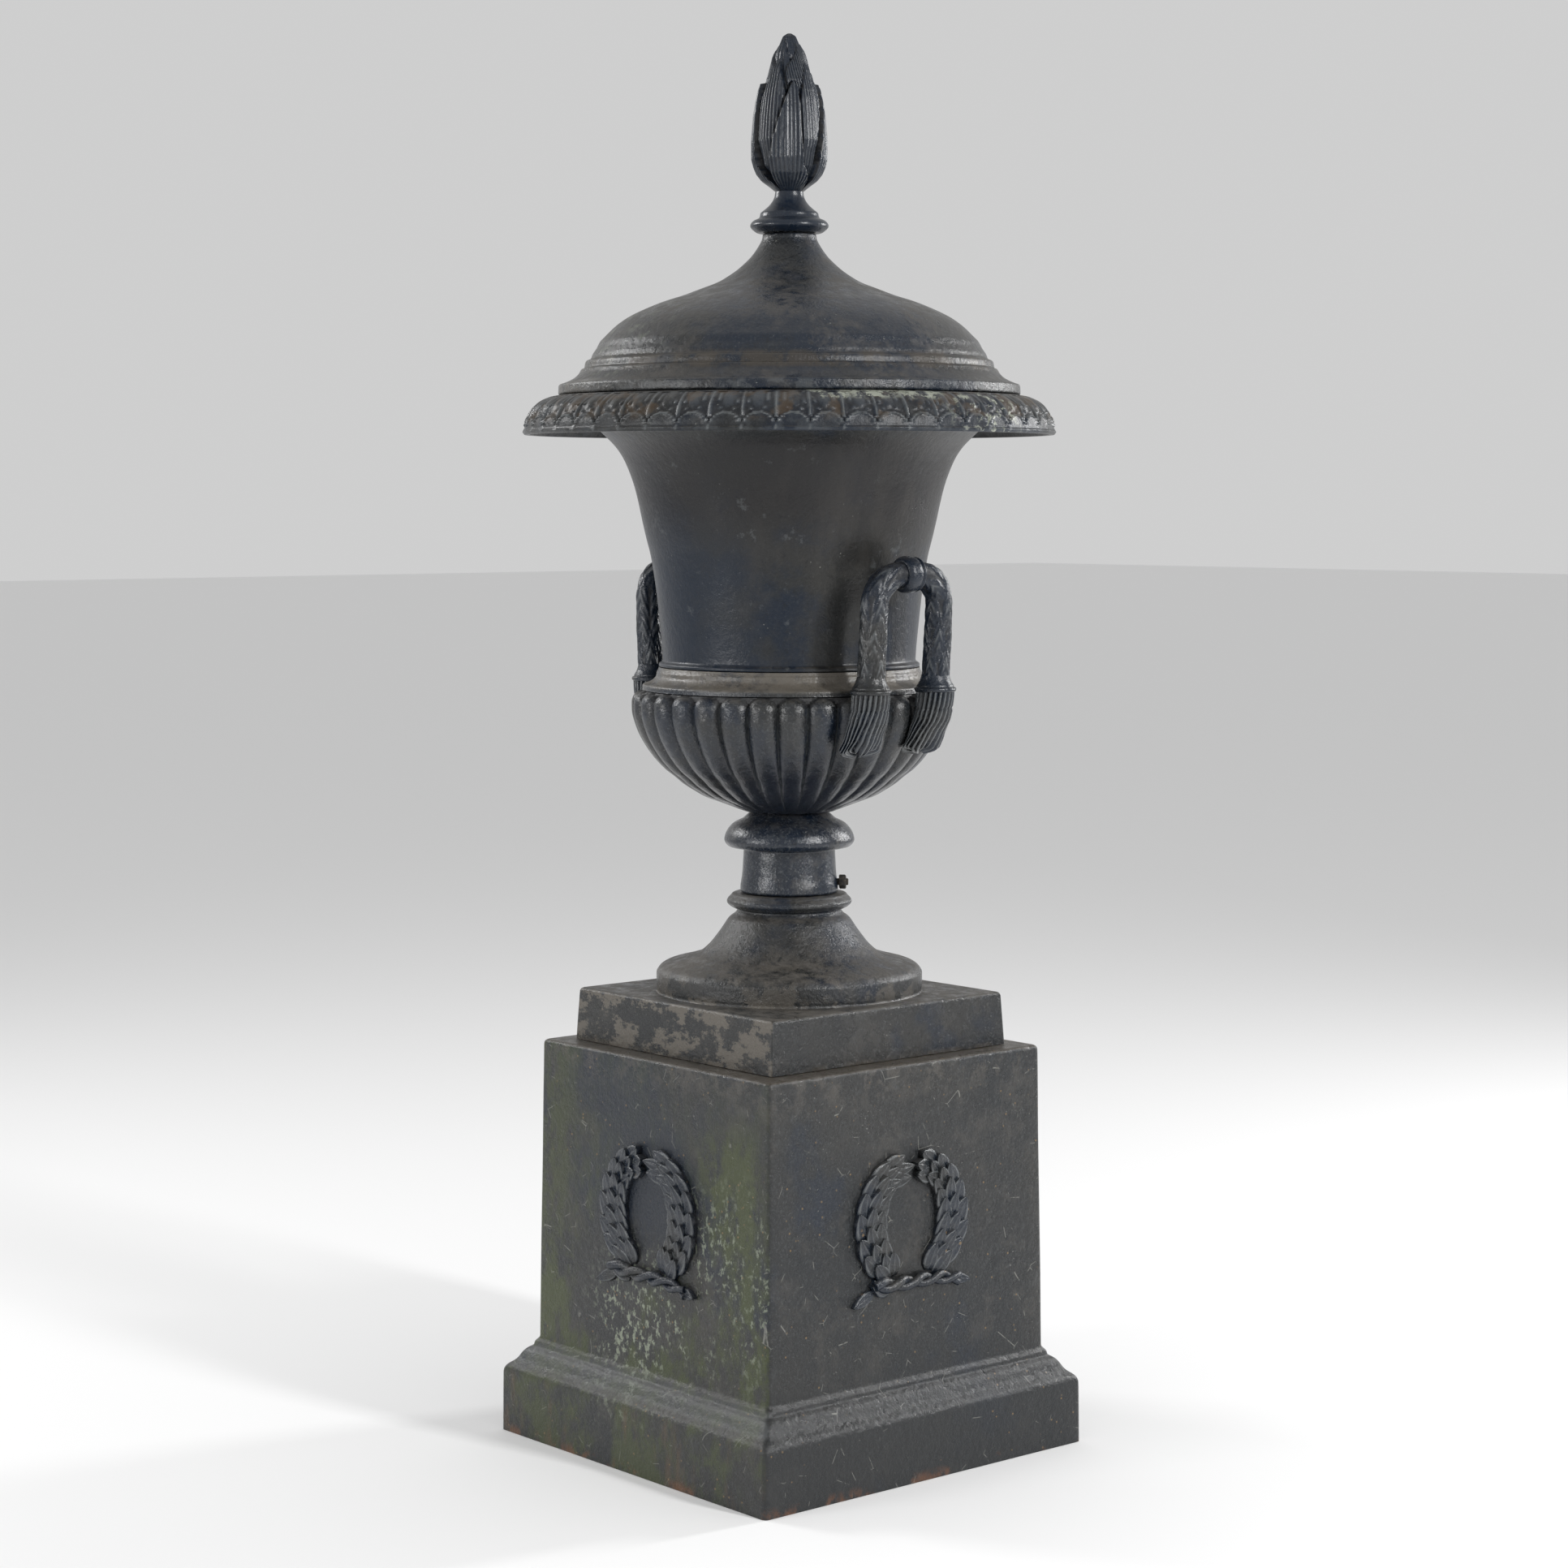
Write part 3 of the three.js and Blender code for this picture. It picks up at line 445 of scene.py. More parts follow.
def pedestal_growth(f, colour):
    """Algae, lichen and dark damp on the shaded face, straw, scratches, dust above, rust at the foot, and a
    painted sheen on the shaded side's moulding.
    """
    shaded = f.face_y.between(-0.4, -0.9)
    patch = f.cloud(7.0, 6.0, 0.68, (1, 1, 0.6), 2.0)
    low = f.over(PEDESTAL_FOOT, 440, 140)
    right_band = f.x.between(0.07, 0.14) * f.x.between(0.215, 0.185) * f.over(PEDESTAL_FOOT, 460, 400)
    side = f.math("MAXIMUM", f.x.between(-0.12, -0.20) * 0.5, right_band)
    mottle = f.cloud(32.0, 6.0, 0.7, (1, 1, 0.6), 14.0).between(0.38, 0.60)
    damp = f.cloud(5.0, 5.0, 0.65, (1, 1, 0.7), 17.0).between(0.50, 0.62)
    damp = shaded * damp * f.over(PEDESTAL_FOOT, 170, 300)
    colour = f.blend(damp * 0.75, colour, BLUE_BLACK)
    algae = shaded * patch.between(0.40, 0.54) * mottle * (0.25 + 1.0 * f.math("MAXIMUM", low, side))
    colour = f.blend(algae, colour, ALGAE)
    crust = f.cloud(120.0, 6.0, 0.72, (1, 1, 0.7), 4.0).between(0.53, 0.60)
    below = f.near(LICHEN_BELOW_WREATH, 0.15)
    beside = f.near(LICHEN_BESIDE_WREATH, 0.16)
    fleck = f.cloud(22.0, 4.0, 0.6, (1, 1, 0.6), 31.0).between(0.38, 0.52)
    lichen = shaded * crust * fleck * f.math("MAXIMUM", below, beside * 0.8)
    colour = f.blend(lichen * 0.8, colour, LICHEN)
    ledge = f.up.between(0.5, 0.95) * f.cloud(24.0, 6.0, 0.7, shift=2.5).between(0.44, 0.60)
    colour = f.blend(ledge * 0.25, colour, DUST)
    joint = f.over(PEDESTAL_TOP, -8.7, -2.7) * f.up.between(0.4, 0.9)
    colour = f.blend(joint * 0.75, colour, EARTH)
    edge = f.over(PEDESTAL_TOP, -64.7, -4.7) * f.cloud(34.0, 7.0, 0.75, shift=9.1).between(0.49, 0.56)
    colour = f.blend(edge * 0.40, colour, DUST)
    base = f.over(MOULDING_TOP, 29, -21) * f.face_x.between(-0.2, 0.4)
    colour = f.blend(base * 0.7, colour, SLATE)
    # painted sheen: the moulding's cyma on the shaded side made lighter
    painted_moulding_sheen = f.face_y.between(-0.2, -0.6) * f.over(PLINTH_HEIGHT, 3, 9) * f.over(MOULDING_TOP, -2, -8)
    colour = f.blend(painted_moulding_sheen * 0.35, colour, PALE_WEAR_AND_SHEEN)
    streaks = f.cloud(24.0, 5.0, 0.65, (1, 1, 0.25), 12.0).between(0.54, 0.66)
    streaks = shaded * streaks * f.over(PLINTH_HEIGHT, 3, -15)
    colour = f.blend(streaks * 0.55, colour, OCHRE)
    straw = f.dots(70.0, 0.12, 0.31) * f.cloud(9.0, 2.0, shift=1.7).between(0.43, 0.54)
    colour = f.blend(straw * 0.75, colour, STRAW)
    scratch = f.get("ShaderNodeTexVoronoi", {"feature": "DISTANCE_TO_EDGE"},
                    {"Vector": f.place, "Scale": 26.0})
    scratch = scratch.between(0.012, 0.004) * f.cloud(45.0, 3.0, shift=3.3).between(0.57, 0.63)
    colour = f.blend(scratch * 0.5, colour, PALE_SPECK)
    foot = f.over(PEDESTAL_FOOT, 16, 2) * f.cloud(26.0, 5.0, 0.6, shift=8.0).between(0.50, 0.62)
    return f.blend(foot * 0.6, colour, RUST)


def wreath_growth(f, colour):
    """Straw caught among the leaves."""
    straw = f.dots(55.0, 0.15, 0.31) * f.cloud(14.0, 2.0, shift=1.7).between(0.50, 0.60)
    return f.blend(straw * 0.8, colour, STRAW)


def foot_growth(f, colour):
    """Pale dust that clings to the slab's shaded side and the disc, and earth in the joint below."""
    shaded = f.face_y.between(-0.3, -0.8) * f.over(SLAB_TOP, 14, -1)
    crust = f.cloud(20.0, 8.0, 0.75, (1, 1, 1.6), 5.5).between(0.49, 0.53)
    colour = f.blend(shaded * crust * 0.9, colour, PALE_DUST)
    disc = f.cloud(17.0, 8.0, 0.72, shift=2.2).between(0.50, 0.55)
    disc = disc * f.over(SLAB_TOP, -4, 1) * f.over(SLAB_TOP, 89, 29)
    colour = f.blend(disc * 0.6, colour, DUST)
    joint = f.over(FOOT_BASE, 8, 1) * f.cloud(30.0, shift=4.4).between(0.42, 0.56)
    return f.blend(joint * 0.6, colour, EARTH)


def rim_growth(f, colour):
    """Rust in the rim's eggs, crusted lichen along its front right, and tints and dust on the throat."""
    eggs = f.cloud(38.0, 3.0, shift=9.0).between(0.50, 0.62) * f.over(RIM_EDGE, 6.1, 20.1)
    colour = f.blend(eggs * 0.5, colour, OCHRE)
    rim = f.over(RIM_EDGE, -3.9, 0.1) * f.cloud(45.0, 5.0, 0.7, shift=8.3).between(0.40, 0.60)
    colour = f.blend(rim * (1 - f.hollow) * 0.32, colour, PALE_WEAR_AND_SHEEN)
    crust = f.cloud(60.0, 7.0, 0.75, shift=6.0)
    edge = f.over(RIM_SEAT, -12.4, -7.4)
    for place, reach, start in RIM_CRUSTS:
        patch = crust.between(start, start + 0.04) * f.near(place, reach) * edge
        colour = f.blend(patch, colour, CRUST)
    right = f.near(RIM_CRUST_RIGHT, 0.080)
    colour = f.blend(crust.between(0.555, 0.585) * right * 0.95, colour, CRUST)
    spread = f.near(RIM_CRUST_SPREAD, 0.20) * f.over(RIM_EDGE, 0.1, 10.1)
    colour = f.blend(crust.between(0.65, 0.68) * spread * 0.9, colour, CRUST)
    throat = f.over(RIM_EDGE, -3.9, -15.9)
    umber = throat * f.over(BODY_BASE, 103.1, 223.1)
    colour = f.blend(umber * 0.75, colour, UMBER)
    blue = throat * f.over(BODY_BASE, 223.1, 83.1) * f.x.between(0.15, 0.02)
    colour = f.blend(blue * 0.6, colour, DEEP_BLUE)
    dusty = f.near(THROAT_DUST, 0.22) * f.cloud(14.0, 4.0, 0.6, (1, 1, 0.15), 1.1).between(0.40, 0.65)
    colour = f.blend(dusty * 0.16, colour, DUST)
    splash = f.cloud(30.0, 7.0, 0.7, shift=16.0).between(0.60, 0.68) * f.over(RIM_EDGE, 4.1, -25.9)
    return f.blend(splash * 0.4, colour, PALE_WEAR_AND_SHEEN)


def lid_growth(f, colour):
    """Lichen at the left, earth along the mouldings, and dust with a painted sheen and chipped paint on the
    band.
    """
    left = f.near(LID_LICHEN, 0.13)
    crust = f.cloud(50.0, 6.0, 0.7, shift=6.0).between(0.54, 0.66) * left
    colour = f.blend(crust * 0.3, colour, LICHEN)
    ledge = f.over(LID_BASE, 24.8, 29.8) * f.over(LID_BASE, 50.8, 42.8)
    ledge = ledge * f.cloud(22.0, 6.0, 0.7, shift=3.1).between(0.44, 0.56)
    colour = f.blend(ledge * 0.6, colour, EARTH)
    # pale dust and a painted sheen on the left third of the band
    dusty = f.near(LID_BAND_DUST_AND_SHEEN, 0.24) * f.over(LID_BASE, 18.8, 15.8)
    dusty = dusty * f.cloud(30.0, shift=7.7).between(0.35, 0.55)
    colour = f.blend(dusty * 0.6, colour, PALE_DUST)
    chips = f.cloud(36.0, 7.0, 0.7, (1, 1, 1.6), 1.0).between(0.50, 0.55) * f.over(LID_BASE, 14.8, 10.8)
    return f.blend(chips * 0.35, colour, PALE_WEAR_AND_SHEEN)


def bowl_growth(f, colour):
    """Pale dust on the bowl's plain shoulder, and brown towards its foot."""
    shoulder = f.over(GADROON_TOP, 3.4, 9.4) * f.cloud(30.0, 6.0, 0.7, shift=2.9).between(0.30, 0.55)
    colour = f.blend(shoulder * 0.9, colour, PALE_DUST)
    lower = f.over(BOWL_BASE, 123.4, 43.4)
    return f.blend(lower * 0.35, colour, UMBER)


def bolt_rust():
    """Blackened iron with brown rust."""
    f = Finish("rusted bolt")
    grain = f.cloud(300.0, 5.0, 0.7)
    colour = f.blend(grain.between(0.4, 0.65), GRIME_AND_SHADE, EARTH)
    return f.close(colour, 0.7 + grain * 0.2, grain)


PEDESTAL_IRON = weathered_iron("pedestal iron", blue=0.25, dust=0.3, growth=pedestal_growth, streak=0.7,
                               gloss=0.02, film=0.22, pale=0.85)
WREATH_IRON = weathered_iron("wreath iron", blue=0.85, dust=0.3, growth=wreath_growth, streak=0.5,
                             gloss=0.10, film=0.12, pale=0.9, rise=0.9, edges=1.0, shine=0.6)
FOOT_IRON = weathered_iron("foot iron", blue=0.35, dust=0.9, growth=foot_growth, gloss=0.04, film=0.15,
                           pale=0.5)
STEM_IRON = weathered_iron("stem iron", blue=0.8, dust=0.4, gloss=0.12, film=0.25, pale=1.5, rise=0.6,
                           shine=0.6)
BOWL_IRON = weathered_iron("bowl iron", blue=0.65, dust=1.1, growth=bowl_growth, gloss=0.08, film=0.15,
                           pale=0.9, rise=0.8, edges=1.0, shine=0.6)
BODY_IRON = weathered_iron("throat iron", blue=0.6, dust=0.6, growth=rim_growth, streak=0.8, gloss=0.01,
                           film=0.1, pale=0.3, rise=0.5, edges=0.95, shine=0.36)
HANDLE_IRON = weathered_iron("handle iron", blue=0.8, dust=0.3, gloss=0.07, film=0.10, pale=0.6, rise=0.7)
LID_IRON = weathered_iron("lid iron", blue=0.6, dust=0.4, growth=lid_growth, gloss=0.03, pale=0.45,
                          rise=0.8)
FINIAL_IRON = weathered_iron("finial iron", blue=1.2, dust=0.15, gloss=0.02, film=0.05, pale=0.6, rise=0.3,
                             edges=0.36)
BOLT_IRON = bolt_rust()


# Pedestal and wreaths

def dado_half(height):
    """The tapered dado's half width at a height."""
    share = (height - MOULDING_TOP) / (PEDESTAL_TOP - MOULDING_TOP)
    return DADO_HALF - DADO_DRAFT * share


def make_pedestal():
    top = dado_half(PEDESTAL_TOP) - CLEAR
    outside = (
        line((PLINTH_HALF - 1.2, 0.4), (PLINTH_HALF - 2, PLINTH_HEIGHT - 9), step=12)
        + bend((PLINTH_HALF - 2.4, PLINTH_HEIGHT - 6), (PLINTH_HALF - 4.2, PLINTH_HEIGHT - 2),
               (PLINTH_HALF - 7.5, PLINTH_HEIGHT + 1.5),
               (PLINTH_HALF - 12, PLINTH_HEIGHT + 5), (PLINTH_HALF - 16, PLINTH_HEIGHT + 10),
               (PLINTH_HALF - 18.5, PLINTH_HEIGHT + 15), (PLINTH_HALF - 23, PLINTH_HEIGHT + 21),
               (PLINTH_HALF - 29, PLINTH_HEIGHT + 25), step=1.5)
        + line((DADO_HALF + 5, PLINTH_HEIGHT + 26), (DADO_HALF + 5, PLINTH_HEIGHT + 30),
               (DADO_HALF, MOULDING_TOP), step=1.0)
        + line((DADO_HALF - CLEAR, MOULDING_TOP), (top, PEDESTAL_TOP - 4), step=14)
        + bend((top - 0.4, PEDESTAL_TOP - 3), (top - 3, PEDESTAL_TOP - 0.5), (top - 8, PEDESTAL_TOP - 0.2),
               step=1.2))
    outside = thin(soften(outside, 2, 1.5), 12.0)
    flat = [(half, PEDESTAL_TOP - 0.2) for half in (180.0, 120.0, 60.0, 8.0)]
    inner = dado_half(PEDESTAL_TOP) - PEDESTAL_WALL
    inside = [(8.0, PEDESTAL_TOP - PEDESTAL_WALL), (inner, PEDESTAL_TOP - PEDESTAL_WALL),
              (DADO_HALF - PEDESTAL_WALL, MOULDING_TOP),
              (PLINTH_HALF - PEDESTAL_WALL - 2, PLINTH_HEIGHT - PEDESTAL_WALL),
              (PLINTH_HALF - PEDESTAL_WALL, 0.4)]
    stock = Stock()
    stock.grid(square_rows(np.vstack([inside, outside, flat])))
    return stock.piece("pedestal_casting", PEDESTAL_IRON, ["pedestal"])


def leaf_rows(at, turn, length, width, low, high):
    """One laurel leaf as a closed block: at is across and up on the face, turn from upright."""
    across = np.linspace(-1, 1, 11)
    rows = []
    for v in np.linspace(0.0, 1.0, 11):
        half = width / 2 * math.sin(math.pi * (0.12 + 0.86 * v ** 0.9)) ** 0.75
        spine = low + (high - low) * v ** 0.7
        top = []
        for u in across:
            cup = 1.3 * abs(u) ** 3 - 2.6 * max(0, abs(u) - 0.72) / 0.28 + 0.9 * math.exp(-(u / 0.13) ** 2)
            top.append((half * u, length * (v - 0.45), spine + cup))
        under = [(half * u, length * (v - 0.45), -2.0) for u in across[::-1]]
        rows.append(top + under)
    rows = np.array(rows)
    c, s = math.cos(turn), math.sin(turn)
    u = rows[..., 0] * c - rows[..., 1] * s + at[0]
    z = rows[..., 0] * s + rows[..., 1] * c + at[1]
    return np.stack([u, z, rows[..., 2]], axis=-1)


def stem_rows(points, radii):
    """A round stem that lies on the face, through points of across, up and height."""
    p = np.array(points, float)
    t = np.linspace(0, len(p) - 1, 60)
    path = np.stack([np.interp(t, np.arange(len(p)), p[:, i]) for i in range(3)], axis=1)
    for _ in range(4):
        path[1:-1] = (path[:-2] + 2 * path[1:-1] + path[2:]) / 4
    size = np.interp(t, np.arange(len(p)), radii)
    along = np.gradient(path, axis=0)
    along /= np.linalg.norm(along, axis=1)[:, None]
    side = np.cross(along, (0, 0, 1.0))
    side /= np.linalg.norm(side, axis=1)[:, None]
    over = np.cross(side, along)
    a = np.linspace(0, 2 * math.pi, 11)[:-1]
    ring = (side[:, None] * np.cos(a)[None, :, None] + over[:, None] * np.sin(a)[None, :, None])
    return path[:, None] + ring * size[:, None, None]


# Rows of leaves along a branch: side, step ahead, length, width and height
WREATH_LANES = ((-1, 0, 42, 28, 10.0), (1, 0, 42, 28, 10.0), (0, 9, 36, 21, 13.0))


def wreath_parts():
    """Two laurel branches over a twisted stem, as blocks of across, up and height."""
    parts = []
    draw = np.random.default_rng(5)
    stations = 8
    for side in (-1, 1):
        for i in range(stations):
            share = i / (stations - 1)
            angle = math.radians(-64 + 140 * share)
            u = side * WREATH_HALF_WIDTH * math.cos(angle) ** 0.62
            z = WREATH_CENTRE - 1 + WREATH_HALF_HEIGHT * math.sin(angle)
            heading = side * max(-0.5, angle * 0.95)
            full = 0.82 + 0.18 * math.sin(math.pi * min(1, share * 1.25))
            for lane, ahead, long, wide, high in WREATH_LANES:
                off = lane * 12.0 * full
                place = (u + off * math.cos(heading) - ahead * math.sin(heading),
                         z + off * math.sin(heading) + ahead * math.cos(heading))
                turn = heading - lane * 0.26 + draw.uniform(-0.10, 0.10)
                length = long * full * draw.uniform(0.92, 1.06)
                parts.append(leaf_rows(place, turn, length, wide * full, 1.5, high * draw.uniform(0.9, 1.05)))
    low = WREATH_CENTRE - 79
    for phase in (0.0, math.pi):
        strand = []
        for u in np.linspace(-66, 76, 30):
            wave = u * 2 * math.pi / 62 + phase
            sag = low - 6 * (u / 70) ** 3 + 2
            strand.append((u, sag + 5 * math.sin(wave), 6 + 3.5 * math.cos(wave)))
        parts.append(stem_rows(strand, np.linspace(6.0, 4.2, 30)))
    parts.append(leaf_rows((-78, low - 10), 1.95, 36, 16, 3.0, 7.0))
    parts.append(leaf_rows((-50, low - 1), 1.2, 34, 20, 2.0, 9.0))
    parts.append(leaf_rows((78, low - 6), -1.75, 28, 14, 3.0, 8.0))
    return parts


def make_wreaths():
    parts = wreath_parts()
    for number in range(4):
        turn = number * math.pi / 2
        c, s = math.cos(turn), math.sin(turn)
        stock = Stock()
        for part in parts:
            across, up = part[..., 0], part[..., 1]
            out = dado_half(up) + part[..., 2] - 1.0
            rows = np.stack([out * c - across * s, out * s + across * c, up], axis=-1)
            # painted shade where the leaves sink to the wall, and a painted highlight on the leaf edges and
            # midrib
            hollow = np.clip(1.0 - part[..., 2] / 4.5, 0, 1)
            if part.shape[1] == 22:
                hollow[:, [1, 9]] -= 0.9
                hollow[:, 5] -= 0.45
            stock.grid(rows, depth=hollow)
        stock.piece(f"wreath_{number + 1}", WREATH_IRON)


# Foot and stem

def make_foot():
    base = FOOT_BASE
    slab_top = SLAB_TOP
    half = SLAB_HALF - 3
    slab = (
        line((SLAB_HALF - CLEAR, base + 0.2), (half - CLEAR, slab_top - 3.5), step=10)
        + bend((half - 0.8, slab_top - 2.5), (half - 3, slab_top - 0.4), (half - 7, slab_top - CLEAR),
               step=1))
    slab = thin(soften(slab, 2, 1.2), 10)
    flat = [(size, slab_top - CLEAR) for size in (165, 120, 60, 8)]
    under = [(8, slab_top - 9), (half - 9, slab_top - 9), (SLAB_HALF - 9, base + 0.2)]
    stock = Stock()
    stock.grid(square_rows(np.vstack([under, slab, flat]), corner=3.0, side=30))
    disc_top = slab_top + DISC_HEIGHT
    neck_level = disc_top + 76
    neck = STEM_RADIUS + 6
    flare = bend((DISC_RADIUS - 1.5, disc_top), (DISC_RADIUS - 5, disc_top + 4.5), (155, disc_top + 8.5),
                 (143, disc_top + 11.5), (127, disc_top + 16), (113, disc_top + 21),
                 (101, disc_top + 31), (92, disc_top + 42), (84, disc_top + 53), (76, disc_top + 65),
                 (neck + 3, disc_top + 71), (neck, neck_level), step=2)
    bead = bend((neck + 0.5, neck_level + 1), (neck + 7, neck_level + 3), (neck + 12.5, neck_level + 7),
                (neck + 13.6, neck_level + 11), (neck + 11, neck_level + 15), (neck + 8, neck_level + 17.5),
                step=1)
    outline = (
        line((DISC_RADIUS + 1.5, slab_top - 2), (DISC_RADIUS - 1, slab_top + 2),
             (DISC_RADIUS - CLEAR, slab_top + 5), (DISC_RADIUS - CLEAR, disc_top - 2), step=2)
        + flare + bead
        + line((neck + 7, FOOT_TOP - 1), (neck + 2, FOOT_TOP - CLEAR), (STEM_RADIUS - 9, FOOT_TOP - CLEAR),
               (STEM_RADIUS - 9, neck_level), step=2)
        + bend((STEM_RADIUS - 3, disc_top + 50), (78, disc_top + 26), (118, disc_top + 6),
               (DISC_RADIUS - 9, disc_top - 6), step=8)
        + line((DISC_RADIUS - 9, disc_top - 6), (DISC_RADIUS - 9, slab_top - 5), step=8))
    rows, hollow = revolve(thin(soften(outline, 2, 1.2), 7), around=256)
    stock.grid(rows, loop=True, depth=hollow)
    return stock.piece("foot_casting", FOOT_IRON, ["foot"])


def make_stem():
    base = STEM_BASE
    knop = base + 56
    r = STEM_RADIUS
    outline = (
        line((r - 9, base + 0.2), (r + 1, base + 0.2), step=2)
        + bend((r + 2.6, base + 2), (r + 2.4, base + 9), (r + 0.3, base + 22), (r - 0.9, base + 40),
               (r - 1.7, knop - 1), step=3)
        + line((r + 1, knop + 0.4), (r + 16, knop + 1.4), step=2)
        + bend((r + 19, knop + 3), (r + 22.2, knop + 7.5), (r + 22.6, knop + 12), (r + 20, knop + 20),
               (r + 14, knop + 28), (r + 8, knop + 32.5), (r - 0.5, knop + 36.5), (r - 4.5, knop + 40),
               (r - 8.5, knop + 43.5), (NECK_RADIUS + 0.2, knop + 45), step=1.2)
        + line((NECK_RADIUS - CLEAR, STEM_TOP - 0.2), (NECK_RADIUS - 9, STEM_TOP - 0.2),
               (NECK_RADIUS - 9, knop + 23), (r - 9, knop), (r - 9, base + 0.2), step=4))
    rows, hollow = revolve(thin(soften(outline, 2, 1.0), 5)[:-1], around=160)
    stock = Stock()
    stock.grid(rows, loop=True, depth=hollow)
    return stock.piece("stem_casting", STEM_IRON, ["stem"])


def make_bolt():
    """The bolt's end and its square nut, from the box of their solid."""
    low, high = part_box("stem_bolt")
    level = (low[2] + high[2]) / 2 / MM
    a = math.radians(45)
    surface = STEM_RADIUS + 3.6
    stock = Stock()

    def bar(radius, start, end, sides, tilt):
        ring = np.arange(sides) * 2 * math.pi / sides + tilt
        rows = []
        for along, scale in ((start, 0.9), (start + 1, 1.0), (end - 1.2, 1.0), (end, 0.86)):
            y, z = radius * scale * np.cos(ring), level + radius * scale * np.sin(ring)
            x = np.full(sides, along)
            rows.append(np.stack([x * math.cos(a) - y * math.sin(a), x * math.sin(a) + y * math.cos(a), z],
                                 axis=-1))
        stock.grid(rows)

    bar(10.2, surface, surface + 8.6, 4, 0.4)
    bar(4.3, STEM_RADIUS - 8, surface + 11.4, 14, 0)
    return stock.piece("bolt_end", BOLT_IRON, ["stem_bolt"])


# Bowl

def make_bowl():
    pitch = 2 * math.pi / GADROONS
    band = BOWL_RADIUS - 14
    z = BOWL_BASE
    crest = bend((59.5, z + 1), (86, z + 11), (107, z + 19), (122, z + 27.5), (135, z + 36), (145, z + 44.5),
                 (156, z + 53), (165, z + 62), (172, z + 70.5), (178, z + 79), (184, z + 89), (189, z + 99),
                 (193, z + 110), (196, z + 121), (196.7, z + 131), (196.7, GADROON_TOP), step=1.8)

    def gadroon(angle, radius, height):
        u = (angle / pitch) % 1.0 * 2 - 1
        half = radius * pitch / 2
        head = np.maximum(0, height - (GADROON_TOP - 17)) / 17
        away = np.sqrt(np.minimum(u ** 2 + head ** 2.3, 1))
        rise = np.minimum(14.0, half * 0.72)
        inside = (height > z + 1.5) & (height < GADROON_TOP + 0.5) & (radius > 60)
        drop = rise * (1 - np.sqrt(np.maximum(0, 1 - away ** 2)))
        ridge = 2.2 * np.exp(-((1 - np.abs(u)) * half / 1.2) ** 2) * (head < 0.3)
        fade = step_up(height, z + 1.5, z + 8)
        moved = np.where(inside & outward_part, radius - (drop - ridge) * fade, radius)
        # painted shade with grime in the valleys between lobes, and a painted highlight on the seams
        seam = np.exp(-((1 - np.abs(u)) * half / 1.0) ** 2) * (head < 0.3)
        grime_and_painted_shading = np.where(inside & outward_part, step_up(away, 0.80, 0.97) * (1 - seam) - seam * 0.8, 0)
        return moved, grime_and_painted_shading * fade * 0.9

    outside = (
        line((0.5, z), (57, z), step=9) + crest
        + line((band, GADROON_TOP + 0.4), (band, GADROON_TOP + 7), step=1.4)
        + bend((band - 1, GADROON_TOP + 8), (JOINT_RADIUS + 10, GADROON_TOP + 11),
               (JOINT_RADIUS + 4, GADROON_TOP + 16), (JOINT_RADIUS + 2.6, GADROON_TOP + 20),
               (JOINT_RADIUS + 2.6, GADROON_TOP + 23.5), step=1.4)
        + line((JOINT_RADIUS + 1, GADROON_TOP + 24.5), (JOINT_RADIUS - CLEAR, BOWL_TOP - 0.2), step=1.4))
    inside = (
        line((JOINT_RADIUS - 9, BOWL_TOP - 0.2), (JOINT_RADIUS - 9, GADROON_TOP - 4), step=9)
        + bend((178, GADROON_TOP - 24), (170, z + 92), (152, z + 66), (124, z + 44), (88, z + 22),
               (48, z + 9), step=9)
        + line((48, z + 9), (0.5, z + 9), step=12))
    outer = thin(soften(outside, 1, 1.4), 2.8, 0.012)
    inner = thin(soften(inside, 1, 4.0), 12.0)
    outward_part = (np.arange(len(outer) + len(inner)) < len(outer))[:, None]
    rows, hollow = revolve(np.vstack([outer, inner]), around=GADROONS * 14, relief=gadroon, wave=0.2)
    stock = Stock()
    stock.grid(rows, depth=hollow)
    return stock.piece("bowl_casting", BOWL_IRON, ["bowl"])


# Throat and rim

def throat_line(wall):
    """The throat's flare from the joint to under the rim, set in by a wall."""
    z = BODY_BASE
    edge = SEAT_RADIUS - 11.5
    points = [(JOINT_RADIUS - 5, z + 8), (JOINT_RADIUS - 3.6, z + 30), (JOINT_RADIUS - 0.5, z + 62),
              (JOINT_RADIUS + 4, z + 102), (JOINT_RADIUS + 9.5, z + 136), (JOINT_RADIUS + 15, z + 158),
              (JOINT_RADIUS + 20, z + 180), (JOINT_RADIUS + 25.5, z + 206), (JOINT_RADIUS + 32, z + 230),
              (JOINT_RADIUS + 42, z + 255), (JOINT_RADIUS + 53, z + 272), (JOINT_RADIUS + 69, z + 288),
              (JOINT_RADIUS + 90, z + 309), (edge, RIM_SEAT - WALL)]
    shift = [wall * (0.75 if radius > JOINT_RADIUS + 60 else 1.0) for radius, _ in points]
    lift = [wall * (0.7 if radius > JOINT_RADIUS + 60 else 0.0) for radius, _ in points]
    return bend(*[(r - s, h + up) for (r, h), s, up in zip(points, shift, lift)], step=6)


